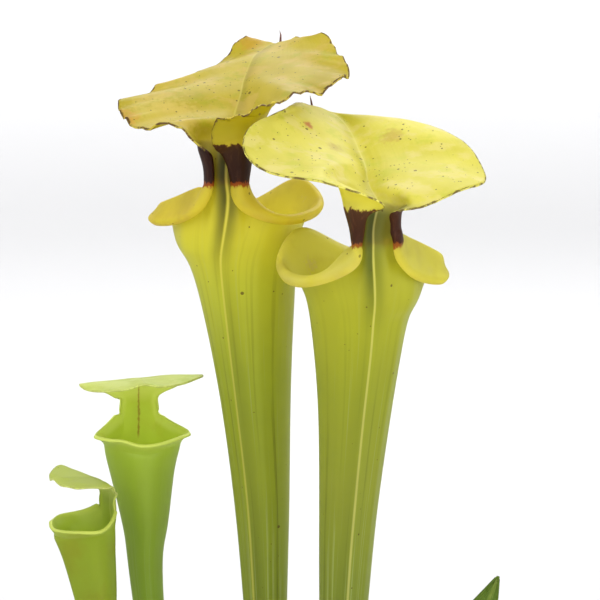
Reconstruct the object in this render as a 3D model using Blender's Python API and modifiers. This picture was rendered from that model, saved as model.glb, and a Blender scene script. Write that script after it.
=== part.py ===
"""Yellow pitcher plant in a pot: a clump of upright trumpet leaves standing in soil.

Metres, +Z up, origin at the middle of the pot's underside. The two tall pitchers turn
their backs to -Y, the two young ones their fronts. Sizes in the tables are millimetres.

A pitcher is one sheet: a closed tube opens at the mouth into a rolled lip, and goes on
at the back as a narrow column and a broad lid. The sheet starts as a coarse cage, is
smoothed by Subdivision Surface, ruffled at the lid's margin, and thickened by Solidify.
"""

import math

import bmesh
import bpy
import numpy as np

MM = 0.001

# Pot and soil
POT_HEIGHT = 130.0
POT_TOP_RADIUS = 76.0
POT_FOOT_RADIUS = 56.0
POT_WALL = 2.4
POT_FLOOR = 3.0
POT_RIM_HEIGHT = 16.0
POT_RIM_REACH = 3.0
POT_SIDES = 32
DRAIN_HOLES = 6
DRAIN_RING_RADIUS = 34.0
DRAIN_RADIUS = 5.0
SOIL_TOP = 113.0
SOIL_CROWN = 3.0
CLEARANCE = 0.3

# Leaf sheets
SHEET = 0.8
FOOT = 105.0
CAGE_ROUNDS = 6
KEEL = 1.3
FRONT_WING = 2.2
TALL_ANGLES = (0, 17, 40, 68, 97, 126, 154, 180, -154, -126, -97, -68, -40, -17)
TALL_STEPS = (0.14, 0.34, 0.56, 0.79, 1.0)
YOUNG_ANGLES = (0, 30, 88, 135, 180, -135, -88, -30)
YOUNG_STEPS = (0.22, 0.6, 1.0)

# Tube rows of the tall pitchers, from the foot to the throat: height, across, away,
# half width, half depth, and the turn of the midrib in degrees.
TUBE_LEFT = (
    (FOOT, -5.0, 7.0, 3.3, 3.3, -10),
    (150, -6.8, 9.5, 3.9, 4.0, -16),
    (215, -9.4, 13.5, 6.2, 6.4, -22),
    (292, -11.5, 18.0, 9.6, 9.8, -26),
    (339, -13.0, 20.0, 12.2, 12.4, -26),
    (385, -15.6, 21.0, 15.4, 15.4, -29),
    (424, -18.6, 21.0, 19.8, 19.2, -26),
    (448, -21.4, 21.0, 23.8, 22.8, -20),
    (460, -23.6, 21.0, 27.6, 26.0, -11),
)
TUBE_RIGHT = (
    (FOOT, 15.0, -6.0, 3.3, 3.3, 4),
    (150, 17.2, -8.0, 4.0, 4.1, 5),
    (215, 20.4, -12.0, 6.6, 6.8, 5),
    (304, 23.7, -16.5, 10.5, 10.6, 6),
    (349, 25.7, -18.5, 12.6, 12.8, 9),
    (388, 28.0, -20.0, 15.4, 15.4, 11),
    (416, 29.2, -20.0, 18.6, 18.2, 14),
    (432, 30.0, -20.0, 21.4, 20.8, 13),
    (443, 31.0, -20.0, 25.4, 24.6, 10),
)
MOUTH_LEFT = (-23.8, 21.0, 473.0)
MOUTH_RIGHT = (30.9, -20.0, 455.0)

# Lip of a tall pitcher from the column round to the front. Each station runs from the
# crest over the flange and the rolled rim to the tucked margin, as across, away and up
# from the middle of the mouth. The rolled side, where the lid rolls at its base, is the
# plus side here; on the right pitcher it is mirrored.
LIP_ROLLED_LEFT = (
    ((8, -23.5, 2.5), (9.5, -28, 5.5), (7.5, -33, 3.5), (4.5, -32.5, 1)),
    ((17, -24.5, -4), (19, -28.5, -0.3), (20.3, -31, -1.8), (19, -30.3, -4)),
    ((26, -13, -5), (30, -16.5, -1), (32, -18, -2.2), (30.6, -17.4, -4.6)),
    ((32, 0, -3), (36.5, -1, 1.5), (38.3, -1, 0.3), (37.3, -1, -2)),
    ((29, 11, 0), (33, 14, 6.5), (35, 15.5, 5.5), (34.5, 15.5, 3)),
    ((19, 23, -1), (22.5, 28, 7), (24, 30.5, 6), (23.6, 30, 3.5)),
)
LIP_OPEN_LEFT = (
    ((-13, -22.5, 8.5), (-15.5, -26.5, 8), (-15, -30.5, 5.5), (-13, -29.5, 3)),
    ((-17, -19.5, 9), (-18.5, -24, 4.5), (-19.5, -27, 0.5), (-18, -26.3, -1.6)),
    ((-25.5, -9, 4.5), (-27.5, -13, 0), (-29.5, -15.5, -4.5), (-27.7, -14.7, -6.6)),
    ((-32, 3, 0), (-35.5, 0.5, -1.8), (-38.8, -1.5, -5.5), (-36.8, -1, -8)),
    ((-27, 14, -1), (-31, 17, -2.5), (-34, 19, -5), (-32.2, 18, -7)),
    ((-16, 24, -3), (-19, 29, -2.5), (-21, 33, -4.5), (-20, 31, -7)),
)
LIP_FRONT_LEFT = ((2, 29, -8), (3, 36, -4), (3, 40, -6), (3, 38, -9))
LIP_ROLLED_RIGHT = (
    ((7.5, -22.5, 4), (8.5, -27, 6.5), (6.5, -32, 4), (4, -31.5, 1)),
    ((15.5, -23, -3.5), (17.5, -27, -1.2), (18.6, -29.6, -3), (17.2, -28.8, -5.6)),
    ((24.5, -12.5, -6.5), (28.5, -15.5, -4), (30.5, -17, -5.8), (29, -16.2, -8.6)),
    ((31, 1, -5.5), (34.5, 1, -1), (36.4, 1, -2.6), (35.2, 1, -5.6)),
    ((27, 12, 0), (31, 15, 6.5), (33, 16.5, 5.3), (32.4, 16.2, 2.6)),
    ((18, 22, 2), (21.5, 26.5, 9), (23, 29, 8), (22.6, 28.6, 5.4)),
)
LIP_OPEN_RIGHT = (
    ((-15, -20.5, 12.5), (-16.5, -25, 11), (-15, -29.5, 7.5), (-13, -29, 5.5)),
    ((-19, -16, 11), (-19.5, -20.5, 5.5), (-20, -23.5, 0), (-18.5, -23, -2.5)),
    ((-27, -5, 6), (-27.5, -9.5, 1), (-28.5, -12, -5.5), (-26.5, -11.5, -8)),
    ((-33, 3, 1), (-35, 1, -2), (-37, -0.5, -6.5), (-35, -0.5, -9.5)),
    ((-26, 14, 0), (-29.5, 17, -1), (-32, 18.5, -3.5), (-30.5, 18, -6)),
    ((-15.5, 23, -1), (-18.5, 28, 0), (-20.5, 31, -2), (-19.5, 29.5, -4.5)),
)
LIP_FRONT_RIGHT = ((1, 27, -5), (2, 34, -1), (2, 38, -3), (2, 36, -6))

# Column of a tall pitcher in sections across the leaf: from the open side's margin over
# the midrib, the middle point, to the rolled side's margin.
COLUMN_LEFT = (
    ((-10, -31, 9), (-11.5, -32, 11.5), (-13.5, -27, 11.5), (-11.5, -23.5, 8), (-9, -26, 3),
     (-3, -26, 3),
     (2, -26, 3), (4, -23.5, 7), (6.5, -27, 11.5), (3.5, -33, 10.5), (-1, -31, 8)),
    ((-9, -30, 14), (-10.5, -31.5, 14), (-13, -26, 14), (-10.5, -22, 12), (-8, -25, 12),
     (-3.5, -25, 12),
     (2, -25, 12), (4, -22, 13), (6, -27, 14), (3, -32.5, 14), (-1.5, -30, 13)),
    ((-9, -30, 20), (-10.5, -31.5, 21), (-13.5, -26, 21), (-11, -22, 20), (-8, -25, 20),
     (-3.5, -25, 20),
     (2, -25, 20), (5, -22, 20), (7, -27, 21), (3, -33, 21), (-3, -31, 21)),
    ((-10, -31, 26), (-12.5, -32, 28), (-15.5, -26, 28), (-12, -21, 27), (-7, -23, 27),
     (-2.5, -23, 27),
     (3, -23, 27), (6, -21, 27), (8, -27, 28), (3, -34.5, 29), (-6, -32, 27)),
)
COLUMN_RIGHT = (
    ((-12, -31, 12.5), (-14.5, -32, 14.5), (-15.5, -26.5, 15.5), (-12.5, -22.5, 13), (-9, -26, 5),
     (-4, -26, 3),
     (0, -26, 3), (3, -23, 7), (5, -27, 10), (4, -33, 9), (1, -31, 8)),
    ((-11, -30, 16), (-13.5, -31, 17), (-15, -26, 18), (-12, -22, 16.5), (-8, -25, 11),
     (-4, -25, 10),
     (0, -25, 10), (3, -22, 10), (5, -26, 12), (4, -31, 12), (1, -30, 11)),
    ((-11, -30, 20), (-13.5, -31, 21), (-15, -26, 21.5), (-12, -21.5, 20), (-8, -24, 17),
     (-4, -24, 16),
     (0, -24, 16), (3, -22, 17), (6, -26, 18), (4, -32, 18), (0, -30, 17)),
    ((-11, -31, 24), (-14, -32, 25), (-16, -25, 25), (-13, -20, 23), (-9, -22, 22),
     (-5, -22, 22),
     (-1, -22, 22), (4, -20, 23), (8, -26, 25), (4, -34, 25), (-2, -32, 24)),
)

# Lids, from the column to the tip: midrib, margin of the open side, margin of the
# rolled side, and the bends between midrib and margin where the lid's base is rolled.
MIDRIB_LEFT = (
    (-1, -19, 32), (-1, -13, 38), (0, -5, 43), (2, 4, 49), (3, 14, 54), (5, 24, 59),
    (7, 34, 63), (10, 43, 65), (13, 50, 66.5), (16, 56, 67.5),
)
OPEN_LEFT = (
    (-15, -33, 30), (-28, -31, 39), (-43, -23, 36.5), (-49.5, -14, 42), (-51, -1, 45.5),
    (-42, 9, 46), (-33, 19, 51), (-20, 32, 54.5), (-5, 47.5, 62.5), (3, 55, 70.3),
)
ROLLED_LEFT = (
    (-9, -36, 31), (-7, -38, 41), (6, -39, 44.5), (18, -32, 49), (30, -25, 51.5),
    (42, -14, 54), (50, 0, 59), (46, 14, 65), (41, 29, 72), (29, 43, 71),
)
BENDS_LEFT = (
    ((3, -19, 32), (7, -18, 32), (9.5, -26, 33), (2, -36.5, 34)),
    ((4, -13, 38), (8, -13, 38), (12, -24, 38), (5, -37, 40)),
    ((5, -6, 43), (10, -11, 43.5), (14, -22, 43.5), (13, -33, 44)),
    ((4, 2, 49), (10, -6, 49), (15.5, -17, 49), (18, -26, 48.5)),
)
BENDS_OPEN_LEFT = ((-6, -19, 32), (-10, -18, 32), (-15, -20, 32), (-17, -27, 31))
TIP_LEFT = ((17, 58, 67), (17.5, 59.5, 67), (18, 61, 67), (18.5, 62, 67))
CAMBER_LEFT = 1.2
RUFFLE_LEFT = (1.8, 17.0)

MIDRIB_RIGHT = (
    (6, -18, 26), (5, -12, 29), (3, -5, 32), (2, 3, 36), (1, 12, 40), (-1, 21, 44),
    (-3, 30, 48.5), (-6, 39, 53), (-10, 47, 56.5), (-14, 53, 58.5),
)
OPEN_RIGHT = (
    (17, -33, 26), (25, -31, 27), (34, -27, 30), (43, -20, 33), (51, -11, 35),
    (51, 0, 39), (46.5, 11, 46), (37, 24, 52), (22, 37, 55), (4, 47, 51),
)
ROLLED_RIGHT = (
    (8, -34, 27), (4, -37, 31), (-6, -39, 35), (-19, -37, 38), (-32, -32, 39),
    (-43, -24, 42), (-50, -14, 49), (-48, -5, 57), (-39, 9.5, 60.5), (-30, 27, 63.5),
)
BENDS_RIGHT = (
    ((1, -18, 26.5), (-5, -18, 28), (-9, -25, 30), (-2, -35, 29.5)),
    ((0, -12, 30.5), (-6, -15, 34), (-11, -24, 36), (-6, -34.5, 35)),
    ((-1, -5, 34), (-7, -11, 36.5), (-12, -20, 37.7), (-13, -30.5, 37.4)),
    ((0, 2, 37.5), (-7, -5, 40), (-14, -15, 41.5), (-18, -27, 40.6)),
)
BENDS_OPEN_RIGHT = ((10, -18, 26), (14, -18, 26), (18, -22, 27), (19, -28, 27))
TIP_RIGHT = ((-16, 55, 59), (-18, 57, 59), (-20, 58.5, 59), (-21, 59, 60))
CAMBER_RIGHT = 3.5
RUFFLE_RIGHT = (0.5, 34.0)

# Young pitchers, with their own axes: across, towards the front, up
TUBE_SMALL = (
    (FOOT, -44.0, 16.0, 2.8, 2.8, 189),
    (185, -54.0, 21.5, 3.9, 3.9, 189),
    (288, -65.6, 28.5, 6.7, 6.8, 189),
    (321, -66.7, 30.0, 9.4, 9.2, 189),
    (347, -67.8, 30.0, 13.8, 13.0, 189),
    (359, -67.8, 30.0, 16.4, 15.2, 189),
)
MOUTH_SMALL = (-67.6, 30.0, 368.6)
TURN_SMALL = 189.0
LID_TILT_SMALL = -0.06
TUBE_FAR = (
    (FOOT, -57.0, -8.0, 2.6, 2.6, 123),
    (185, -70.0, -3.0, 3.6, 3.6, 123),
    (270, -83.5, 0.0, 5.9, 6.0, 123),
    (297, -86.8, 1.0, 8.2, 8.0, 123),
    (317, -89.5, 2.0, 10.4, 10.2, 123),
    (327, -91.3, 2.0, 12.4, 12.0, 123),
)
MOUTH_FAR = (-92.0, 2.0, 334.0)
TURN_FAR = 123.0
YOUNG_SHARE_FAR = 0.8
LID_TILT_FAR = 0.0
YOUNG_LIP = (
    ((9, -13.5, -3), (11, -13.5, 2.5)),
    ((17.5, 0, -4.5), (21.5, 0, -1.4)),
    ((12.5, 11, -5), (15, 12, -2)),
)
YOUNG_FRONT = ((0, 16.5, -7.5), (0, 19, -5))
YOUNG_COLUMN = (
    ((-9, -14.5, 6), (-7.5, -16, 4), (-4.5, -16.5, 3), (0, -17, 3),
     (4.5, -16.5, 3), (7.5, -16, 4), (9, -14.5, 6)),
    ((-8.5, -14.5, 11), (-7, -16, 10), (-4, -16.5, 9), (0, -17, 9),
     (4, -16.5, 9), (7, -16, 10), (8.5, -14.5, 11)),
)
YOUNG_MIDRIB = ((0, -16, 14), (0, -13, 19.5), (0, -7, 22.5), (0, 1, 23.5), (0, 9, 23.3))
YOUNG_MARGIN = ((11, -15, 14.5), (17, -11, 18.5), (25, -5, 23.0), (28, 2, 25.0), (19, 11, 23.5))
YOUNG_TIP = ((0, 14, 23), (0, 18, 22.5))
RUFFLE_YOUNG = (0.3, 20.0)

# Flat sword leaf: height, across, away, half width
FLAT_LEAF = (
    (FOOT + 1.8, 30.0, 3.0, 2.8),
    (135, 32.5, 3.5, 4.5),
    (170, 38.0, 4.5, 7.4),
    (205, 46.5, 5.5, 9.4),
    (240, 59.5, 7.0, 10.2),
    (266, 73.0, 8.5, 9.4),
    (287, 86.0, 9.5, 6.6),
    (304, 93.5, 10.5, 0.8),
)
FLAT_LEAF_STEPS = (-1.0, -0.5, 0.0, 0.5, 1.0)
FLAT_LEAF_FOLD = 0.28
FLAT_LEAF_SHEET = 1.1

# Base colours
OCHRE = (0.50, 0.46, 0.07)
LEMON = (0.60, 0.58, 0.13)
GREEN = (0.30, 0.42, 0.06)


def start_scene():
    """Remove the old objects and make a collection for the plant and one for cutters."""
    for old in list(bpy.data.objects):
        bpy.data.objects.remove(old, do_unlink=True)
    made = []
    for name in ("Yellow pitcher plant", "Cutters"):
        collection = bpy.data.collections.new(name)
        bpy.context.scene.collection.children.link(collection)
        made.append(collection)
    return made


def material(name, colour, roughness):
    """Plain Principled material."""
    made = bpy.data.materials.new(name)
    made.use_nodes = True
    shader = made.node_tree.nodes["Principled BSDF"]
    shader.inputs["Base Color"].default_value = (*colour, 1.0)
    shader.inputs["Roughness"].default_value = roughness
    shader.inputs["Metallic"].default_value = 0.0
    made.diffuse_color = (*colour, 1.0)
    return made


def place(name, mesh, collection, finish=None):
    """Object from a mesh, linked to a collection."""
    made = bpy.data.objects.new(name, mesh)
    collection.objects.link(made)
    if finish is not None:
        mesh.materials.append(finish)
    return made


def as_mesh(source):
    """Mesh of an object with its modifiers applied."""
    graph = bpy.context.evaluated_depsgraph_get()
    return bpy.data.meshes.new_from_object(source.evaluated_get(graph))


def turned(points, hand, turn, share, mouth):
    """Points around a mouth: mirrored by hand, turned about the upright, sized, moved."""
    c, s = math.cos(math.radians(turn)), math.sin(math.radians(turn))
    spin = np.array(((c, -s, 0.0), (s, c, 0.0), (0.0, 0.0, 1.0)))
    rows = np.asarray(points, float) * (hand, 1.0, 1.0) * share
    return rows @ spin.T + np.asarray(mouth, float)


def lid_section(midrib, margins, bends, steps, camber):
    """Section across a lid from one margin over the midrib to the other one.

    A half with bends of its own follows them; the others arch by the camber.
    """
    halves = []
    for margin, bent in zip(margins, bends):
        half = []
        for step in steps:
            point = np.asarray(midrib, float) * (1 - step) + np.asarray(margin, float) * step
            point[2] += camber * 4.0 * step * (1.0 - step)
            half.append(tuple(point))
        halves.append(list(bent) + [margin] if bent else half)
    return halves[0][::-1] + [tuple(midrib)] + halves[1]


class PitcherCage:
    """Coarse cage of a pitcher's sheet, in millimetres."""

    def __init__(self):
        self.points = []
        self.faces = []
        self.edge = []
        self.run = []

    def add(self, point, edge=0.0, run=0.0):
        """Add a point with its share of the margin's ruffle and its run along it."""
        self.points.append(np.asarray(point, float))
        self.edge.append(edge)
        self.run.append(run)
        return len(self.points) - 1

    def ring(self, row, angles, hand):
        """Add one ring of the tube, with the keel at the back and the wing in front."""
        up, across, away, half_width, half_depth, twist = row
        size = min(1.0, max(0.0, (half_width - 4.0) / 6.0))
        ring = []
        for angle in angles:
            bump = {0: KEEL, 180: FRONT_WING}.get(angle, 0.0) * size
            turn = math.radians(hand * angle + twist)
            ring.append(self.add((across + (half_width + bump) * math.sin(turn),
                                  away - (half_depth + bump) * math.cos(turn), up)))
        return ring

    def join(self, first, second, closed=False):
        """Join two rows of points with quads."""
        for i in range(len(first) if closed else len(first) - 1):
            j = (i + 1) % len(first)
            self.faces.append((first[i], first[j], second[j], second[i]))

    def tube(self, rows, angles, hand):
        """Add the tube, open at its foot, and return the throat ring."""
        rings = [self.ring(row, angles, hand) for row in rows]
        for low, high in zip(rings, rings[1:]):
            self.join(low, high, closed=True)
        return rings[-1]

    def lip(self, throat, rolled, opened, front):
        """Add both sides of the lip and return their stations beside the column."""
        middle = [throat[len(throat) // 2]] + [self.add(p) for p in front]
        corners = []
        for stations, way in ((opened, -1), (rolled, 1)):
            bands = [[throat[way * (i + 1)]] + [self.add(p) for p in station]
                     for i, station in enumerate(stations)]
            for first, second in zip(bands, bands[1:] + [middle]):
                self.join(first, second)
            corners.append(bands[0])
        return corners

    def blade(self, throat, corners, sections, lid_start, tip):
        """Add the column and the lid above the throat, up to the tip."""
        half = len(sections[0]) // 2
        rows = []
        runs = [0.0, 0.0]
        for number, section in enumerate(sections):
            if number > lid_start:
                for side, end in enumerate((0, -1)):
                    step = np.subtract(section[end], sections[number - 1][end])
                    runs[side] += float(np.linalg.norm(step))
            share = min(1.0, max(0.0, (number - lid_start) / 3.0))
            rows.append([self.add(point, share * (abs(i - half) / half) ** 3, runs[i > half])
                         for i, point in enumerate(section)])
        self.join([throat[-1], throat[0], throat[1]], rows[0][half - 1:half + 2])
        self.join(corners[0], rows[0][half - 1::-1])
        self.join(corners[1], rows[0][half + 1:])
        for low, high in zip(rows, rows[1:]):
            self.join(low, high)
        point = [rows[-1][half]] + [self.add(p, 0.0, runs[0]) for p in tip]
        self.join(rows[-1][half - 1::-1], point)
        self.join(rows[-1][half + 1:], point)

    def settled(self):
        """Points moved so that the smoothed surface runs through the given ones."""
        points = np.array(self.points)
        sides, faces_at = {}, [[] for _ in points]
        for face in self.faces:
            for i, corner in enumerate(face):
                key = frozenset((corner, face[i - 1]))
                sides[key] = sides.get(key, 0) + 1
                faces_at[corner].append(face)
        near = [[] for _ in points]
        rim = [[] for _ in points]
        for key, count in sides.items():
            a, b = key
            for here, there in ((a, b), (b, a)):
                near[here].append(there)
                if count == 1:
                    rim[here].append(there)
        weights = np.zeros((len(points), len(points)))
        for here in range(len(points)):
            if rim[here]:
                weights[here, here] = 2.0 / 3.0
                weights[here, rim[here]] = 1.0 / 6.0
                continue
            n = len(near[here])
            share = 4.0 / (n * (n + 5.0))
            weights[here, here] = (n - 3.0) / (n + 5.0) + n * share / 2.0
            weights[here, near[here]] += share / 2.0
            for face in faces_at[here]:
                weights[here, list(face)] += share / len(face)
        cage = points.copy()
        for _ in range(CAGE_ROUNDS):
            cage += points - weights @ cage
        return cage

    def mesh(self, name):
        """Cage as a mesh in metres, with the ruffle's share and run as attributes."""
        made = bpy.data.meshes.new(name)
        made.from_pydata([tuple(p) for p in self.settled() * MM], [], self.faces)
        for label, values in (("edge", self.edge), ("run", self.run)):
            made.attributes.new(label, "FLOAT", "POINT").data.foreach_set("value", values)
        work = bmesh.new()
        work.from_mesh(made)
        bmesh.ops.recalc_face_normals(work, faces=work.faces)
        work.to_mesh(made)
        work.free()
        return made


def close_foot(mesh):
    """Close a tube's open foot with a flat face."""
    work = bmesh.new()
    work.from_mesh(mesh)
    foot = [edge for edge in work.edges if edge.is_boundary
            and max(vertex.co.z for vertex in edge.verts) < (FOOT + 1.0) * MM]
    if len(foot) > 8:
        bmesh.ops.contextual_create(work, geom=foot)
        bmesh.ops.recalc_face_normals(work, faces=work.faces)
    work.to_mesh(mesh)
    work.free()


def thin_solid(name, mesh, collection, finish, ruffle, thickness):
    """Smooth a cage, ruffle its margin and thicken it to one thin solid."""
    guide = place(name + " guide", mesh, collection)
    smooth = guide.modifiers.new("Smooth", "SUBSURF")
    smooth.levels = smooth.render_levels = 1
    sheet = as_mesh(guide)
    bpy.data.objects.remove(guide)
    close_foot(sheet)
    height, length = ruffle
    if height:
        edge = [item.value for item in sheet.attributes["edge"].data]
        run = [item.value for item in sheet.attributes["run"].data]
        for vertex, share, along in zip(sheet.vertices, edge, run):
            wave = math.sin(math.tau * along / length) + 0.5 * math.sin(2.7 * along / length)
            vertex.co.z += height * MM * share * wave
    leaf = place(name, sheet, collection, finish)
    split = leaf.modifiers.new("Split", "TRIANGULATE")
    split.quad_method = "FIXED"
    solid = leaf.modifiers.new("Thickness", "SOLIDIFY")
    solid.thickness = thickness * MM
    solid.offset = 0.0
    sheet.shade_smooth()
    return leaf


def tall_pitcher(name, tube, mouth, hand, lip, column, lid, collection, finish):
    """One tall pitcher. Hand is 1 where the rolled side lies across, -1 where it doesn't."""
    rolled, opened, front = lip
    midrib, open_margin, rolled_margin, open_bends, rolled_bends, tip, camber, ruffle = lid
    cage = PitcherCage()
    throat = cage.tube(tube, TALL_ANGLES, hand)
    corners = cage.lip(throat,
                       [turned(points, hand, 0, 1, mouth) for points in rolled],
                       [turned(points, hand, 0, 1, mouth) for points in opened],
                       turned(front, hand, 0, 1, mouth))
    sections = [turned(row, hand, 0, 1, mouth) for row in column]
    # The lid's tables lie in the plant's own axes, so only their order is mirrored.
    for i, middle in enumerate(midrib):
        bends = (open_bends if i == 0 else (),
                 rolled_bends[i] if i < len(rolled_bends) else ())
        fading = min(1.0, (len(midrib) - i) / 4.0)
        row = lid_section(middle, (open_margin[i], rolled_margin[i]), bends, TALL_STEPS,
                          camber * fading)
        sections.append(turned(row, 1, 0, 1, mouth))
    cage.blade(throat, corners, sections, len(column) - 1, turned(tip, 1, 0, 1, mouth))
    return thin_solid(name, cage.mesh(name), collection, finish, ruffle, SHEET)


def young_pitcher(name, tube, mouth, turn, share, tilt, collection, finish):
    """One young pitcher, turned about the upright and scaled, its lid tilted sideways."""
    cage = PitcherCage()
    throat = cage.tube(tube, YOUNG_ANGLES, 1)
    rolled = [turned(p, 1, turn, share, mouth) for p in YOUNG_LIP]
    opened = [turned(p, -1, turn, share, mouth) for p in YOUNG_LIP]
    corners = cage.lip(throat, rolled, opened, turned(YOUNG_FRONT, 1, turn, share, mouth))
    sections = [turned(row, 1, turn, share, mouth) for row in YOUNG_COLUMN]
    for middle, margin in zip(YOUNG_MIDRIB, YOUNG_MARGIN):
        margins = [(way * margin[0], margin[1], margin[2] + tilt * (way * margin[0] + 28.0))
                   for way in (-1, 1)]
        row = lid_section(middle, margins, ((), ()), YOUNG_STEPS, 0.5)
        sections.append(turned(row, 1, turn, share, mouth))
    cage.blade(throat, corners, sections, len(YOUNG_COLUMN) - 1,
               turned(YOUNG_TIP, 1, turn, share, mouth))
    return thin_solid(name, cage.mesh(name), collection, finish, RUFFLE_YOUNG, SHEET)


def flat_leaf(collection, finish):
    """Sword leaf: a tapering blade, folded a little along its midrib."""
    cage = PitcherCage()
    rows = []
    for up, across, away, half_width in FLAT_LEAF:
        rows.append([cage.add((across + half_width * step,
                               away + half_width * FLAT_LEAF_FOLD * abs(step), up
                               - 0.45 * half_width * step * min(1.0, (up - FOOT) / 120.0)))
                     for step in FLAT_LEAF_STEPS])
    for low, high in zip(rows, rows[1:]):
        cage.join(low, high)
    return thin_solid("leaf_flat", cage.mesh("leaf_flat"), collection, finish, (0, 1),
                      FLAT_LEAF_SHEET)


def turned_solid(name, profile, collection, finish, sides):
    """Solid turned about the upright from a closed profile of radius and height."""
    mesh = bpy.data.meshes.new(name)
    count = len(profile)
    mesh.from_pydata([(r * MM, 0.0, z * MM) for r, z in profile],
                     [(i, i + 1) for i in range(count - 1)]
                     + ([] if profile[0][0] == 0 else [(count - 1, 0)]), [])
    made = place(name, mesh, collection, finish)
    screw = made.modifiers.new("Turn", "SCREW")
    screw.steps = screw.render_steps = sides
    screw.use_merge_vertices = True
    screw.merge_threshold = 0.00001
    screw.use_normal_calculate = True
    return made


def drill(target, name, across, away, bottom, top, radius, sides, cutters):
    """Cut a round upright hole into a solid."""
    bpy.ops.mesh.primitive_cylinder_add(
        vertices=sides, radius=radius * MM, depth=(top - bottom) * MM,
        location=(across * MM, away * MM, (top + bottom) / 2.0 * MM))
    cutter = bpy.context.object
    cutter.name = name
    for owner in list(cutter.users_collection):
        owner.objects.unlink(cutter)
    cutters.objects.link(cutter)
    cutter.hide_render = True
    cutter.display_type = "WIRE"
    cut = target.modifiers.new(name, "BOOLEAN")
    cut.operation = "DIFFERENCE"
    cut.object = cutter


def pot_radius(height):
    """Outer radius of the pot's wall at a height."""
    return POT_FOOT_RADIUS + (POT_TOP_RADIUS - POT_FOOT_RADIUS) * height / POT_HEIGHT


def build_pot(plant, cutters):
    """Plain tapering pot with a collar at the top and drain holes in its floor."""
    collar = POT_HEIGHT - POT_RIM_HEIGHT
    profile = (
        (0.0, 0.0), (POT_FOOT_RADIUS - 1.5, 0.0), (POT_FOOT_RADIUS, 1.5),
        (pot_radius(collar), collar), (pot_radius(collar) + POT_RIM_REACH, collar + 1.0),
        (POT_TOP_RADIUS + POT_RIM_REACH, POT_HEIGHT - 1.0),
        (POT_TOP_RADIUS + POT_RIM_REACH - 1.0, POT_HEIGHT),
        (POT_TOP_RADIUS - POT_WALL + 1.0, POT_HEIGHT),
        (POT_TOP_RADIUS - POT_WALL, POT_HEIGHT - 1.0),
        (pot_radius(POT_FLOOR) - POT_WALL, POT_FLOOR), (0.0, POT_FLOOR),
    )
    pot = turned_solid("pot", profile[::-1], plant, material("Pot", (0.035, 0.036, 0.038), 0.5),
                       POT_SIDES)
    for i in range(DRAIN_HOLES):
        turn = math.tau * i / DRAIN_HOLES
        drill(pot, f"Drain {i + 1}", DRAIN_RING_RADIUS * math.cos(turn),
              DRAIN_RING_RADIUS * math.sin(turn), -2.0, POT_FLOOR + 2.0, DRAIN_RADIUS, 12,
              cutters)
    return pot


def build_soil(plant, cutters):
    """Soil filling the pot, a little higher in the middle, with a hole for each leaf."""
    low = POT_FLOOR + CLEARANCE
    inside = pot_radius(low) - POT_WALL - CLEARANCE
    outside = pot_radius(SOIL_TOP) - POT_WALL - CLEARANCE
    profile = ((0.0, low), (inside, low), (outside, SOIL_TOP),
               (outside * 0.7, SOIL_TOP + SOIL_CROWN * 0.6), (0.0, SOIL_TOP + SOIL_CROWN))
    soil = turned_solid("soil", profile[::-1], plant, material("Soil", (0.06, 0.04, 0.028), 0.95),
                        POT_SIDES)
    leaves = (("Left", TUBE_LEFT), ("Right", TUBE_RIGHT), ("Small", TUBE_SMALL),
              ("Far", TUBE_FAR), ("Flat", FLAT_LEAF))
    for label, rows in leaves:
        foot, higher = rows[0], rows[1]
        share = (SOIL_TOP + SOIL_CROWN - foot[0]) / (higher[0] - foot[0])
        lean = share * math.hypot(higher[1] - foot[1], higher[2] - foot[2])
        thickness = FLAT_LEAF_SHEET if label == "Flat" else SHEET
        widest = foot[3] + share * (higher[3] - foot[3])
        drill(soil, f"{label} leaf hole", foot[1], foot[2],
              FOOT - thickness / 2.0 - CLEARANCE, SOIL_TOP + 10.0,
              widest + thickness / 2.0 + CLEARANCE + lean, 16, cutters)
    return soil


def build():
    """Build the whole plant."""
    plant, cutters = start_scene()
    build_pot(plant, cutters)
    build_soil(plant, cutters)
    tall_pitcher("pitcher_tall_left", TUBE_LEFT, MOUTH_LEFT, 1,
                 (LIP_ROLLED_LEFT, LIP_OPEN_LEFT, LIP_FRONT_LEFT), COLUMN_LEFT,
                 (MIDRIB_LEFT, OPEN_LEFT, ROLLED_LEFT, BENDS_OPEN_LEFT, BENDS_LEFT, TIP_LEFT,
                  CAMBER_LEFT, RUFFLE_LEFT), plant, material("Pitcher ochre", OCHRE, 0.45))
    tall_pitcher("pitcher_tall_right", TUBE_RIGHT, MOUTH_RIGHT, -1,
                 (LIP_ROLLED_RIGHT, LIP_OPEN_RIGHT, LIP_FRONT_RIGHT), COLUMN_RIGHT,
                 (MIDRIB_RIGHT, OPEN_RIGHT, ROLLED_RIGHT, BENDS_OPEN_RIGHT, BENDS_RIGHT,
                  TIP_RIGHT, CAMBER_RIGHT, RUFFLE_RIGHT), plant,
                 material("Pitcher lemon", LEMON, 0.45))
    young_pitcher("pitcher_small", TUBE_SMALL, MOUTH_SMALL, TURN_SMALL, 1.0, LID_TILT_SMALL,
                  plant, material("Young pitcher green", GREEN, 0.5))
    young_pitcher("pitcher_far_left", TUBE_FAR, MOUTH_FAR, TURN_FAR, YOUNG_SHARE_FAR,
                  LID_TILT_FAR, plant, material("Far pitcher green", GREEN, 0.5))
    flat_leaf(plant, material("Flat leaf green", GREEN, 0.5))


build()
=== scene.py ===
"""A potted clump of yellow pitcher plants, dressed for a studio picture.

Metres and +Z up, in the part's own frame. The leaves' tables are in millimetres and
colours are given as the eye reads them, from 0 to 255. Each leaf is one sheet: a coarse
cage is smoothed, ruffled at its margin and thickened, and carries named values along
its surface that its finishes read.
"""

from __future__ import annotations

import logging
import math
from collections.abc import Iterator
from contextlib import contextmanager
from dataclasses import dataclass
from enum import Enum

import bmesh
import bpy
import numpy as np
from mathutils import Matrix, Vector, noise

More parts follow.
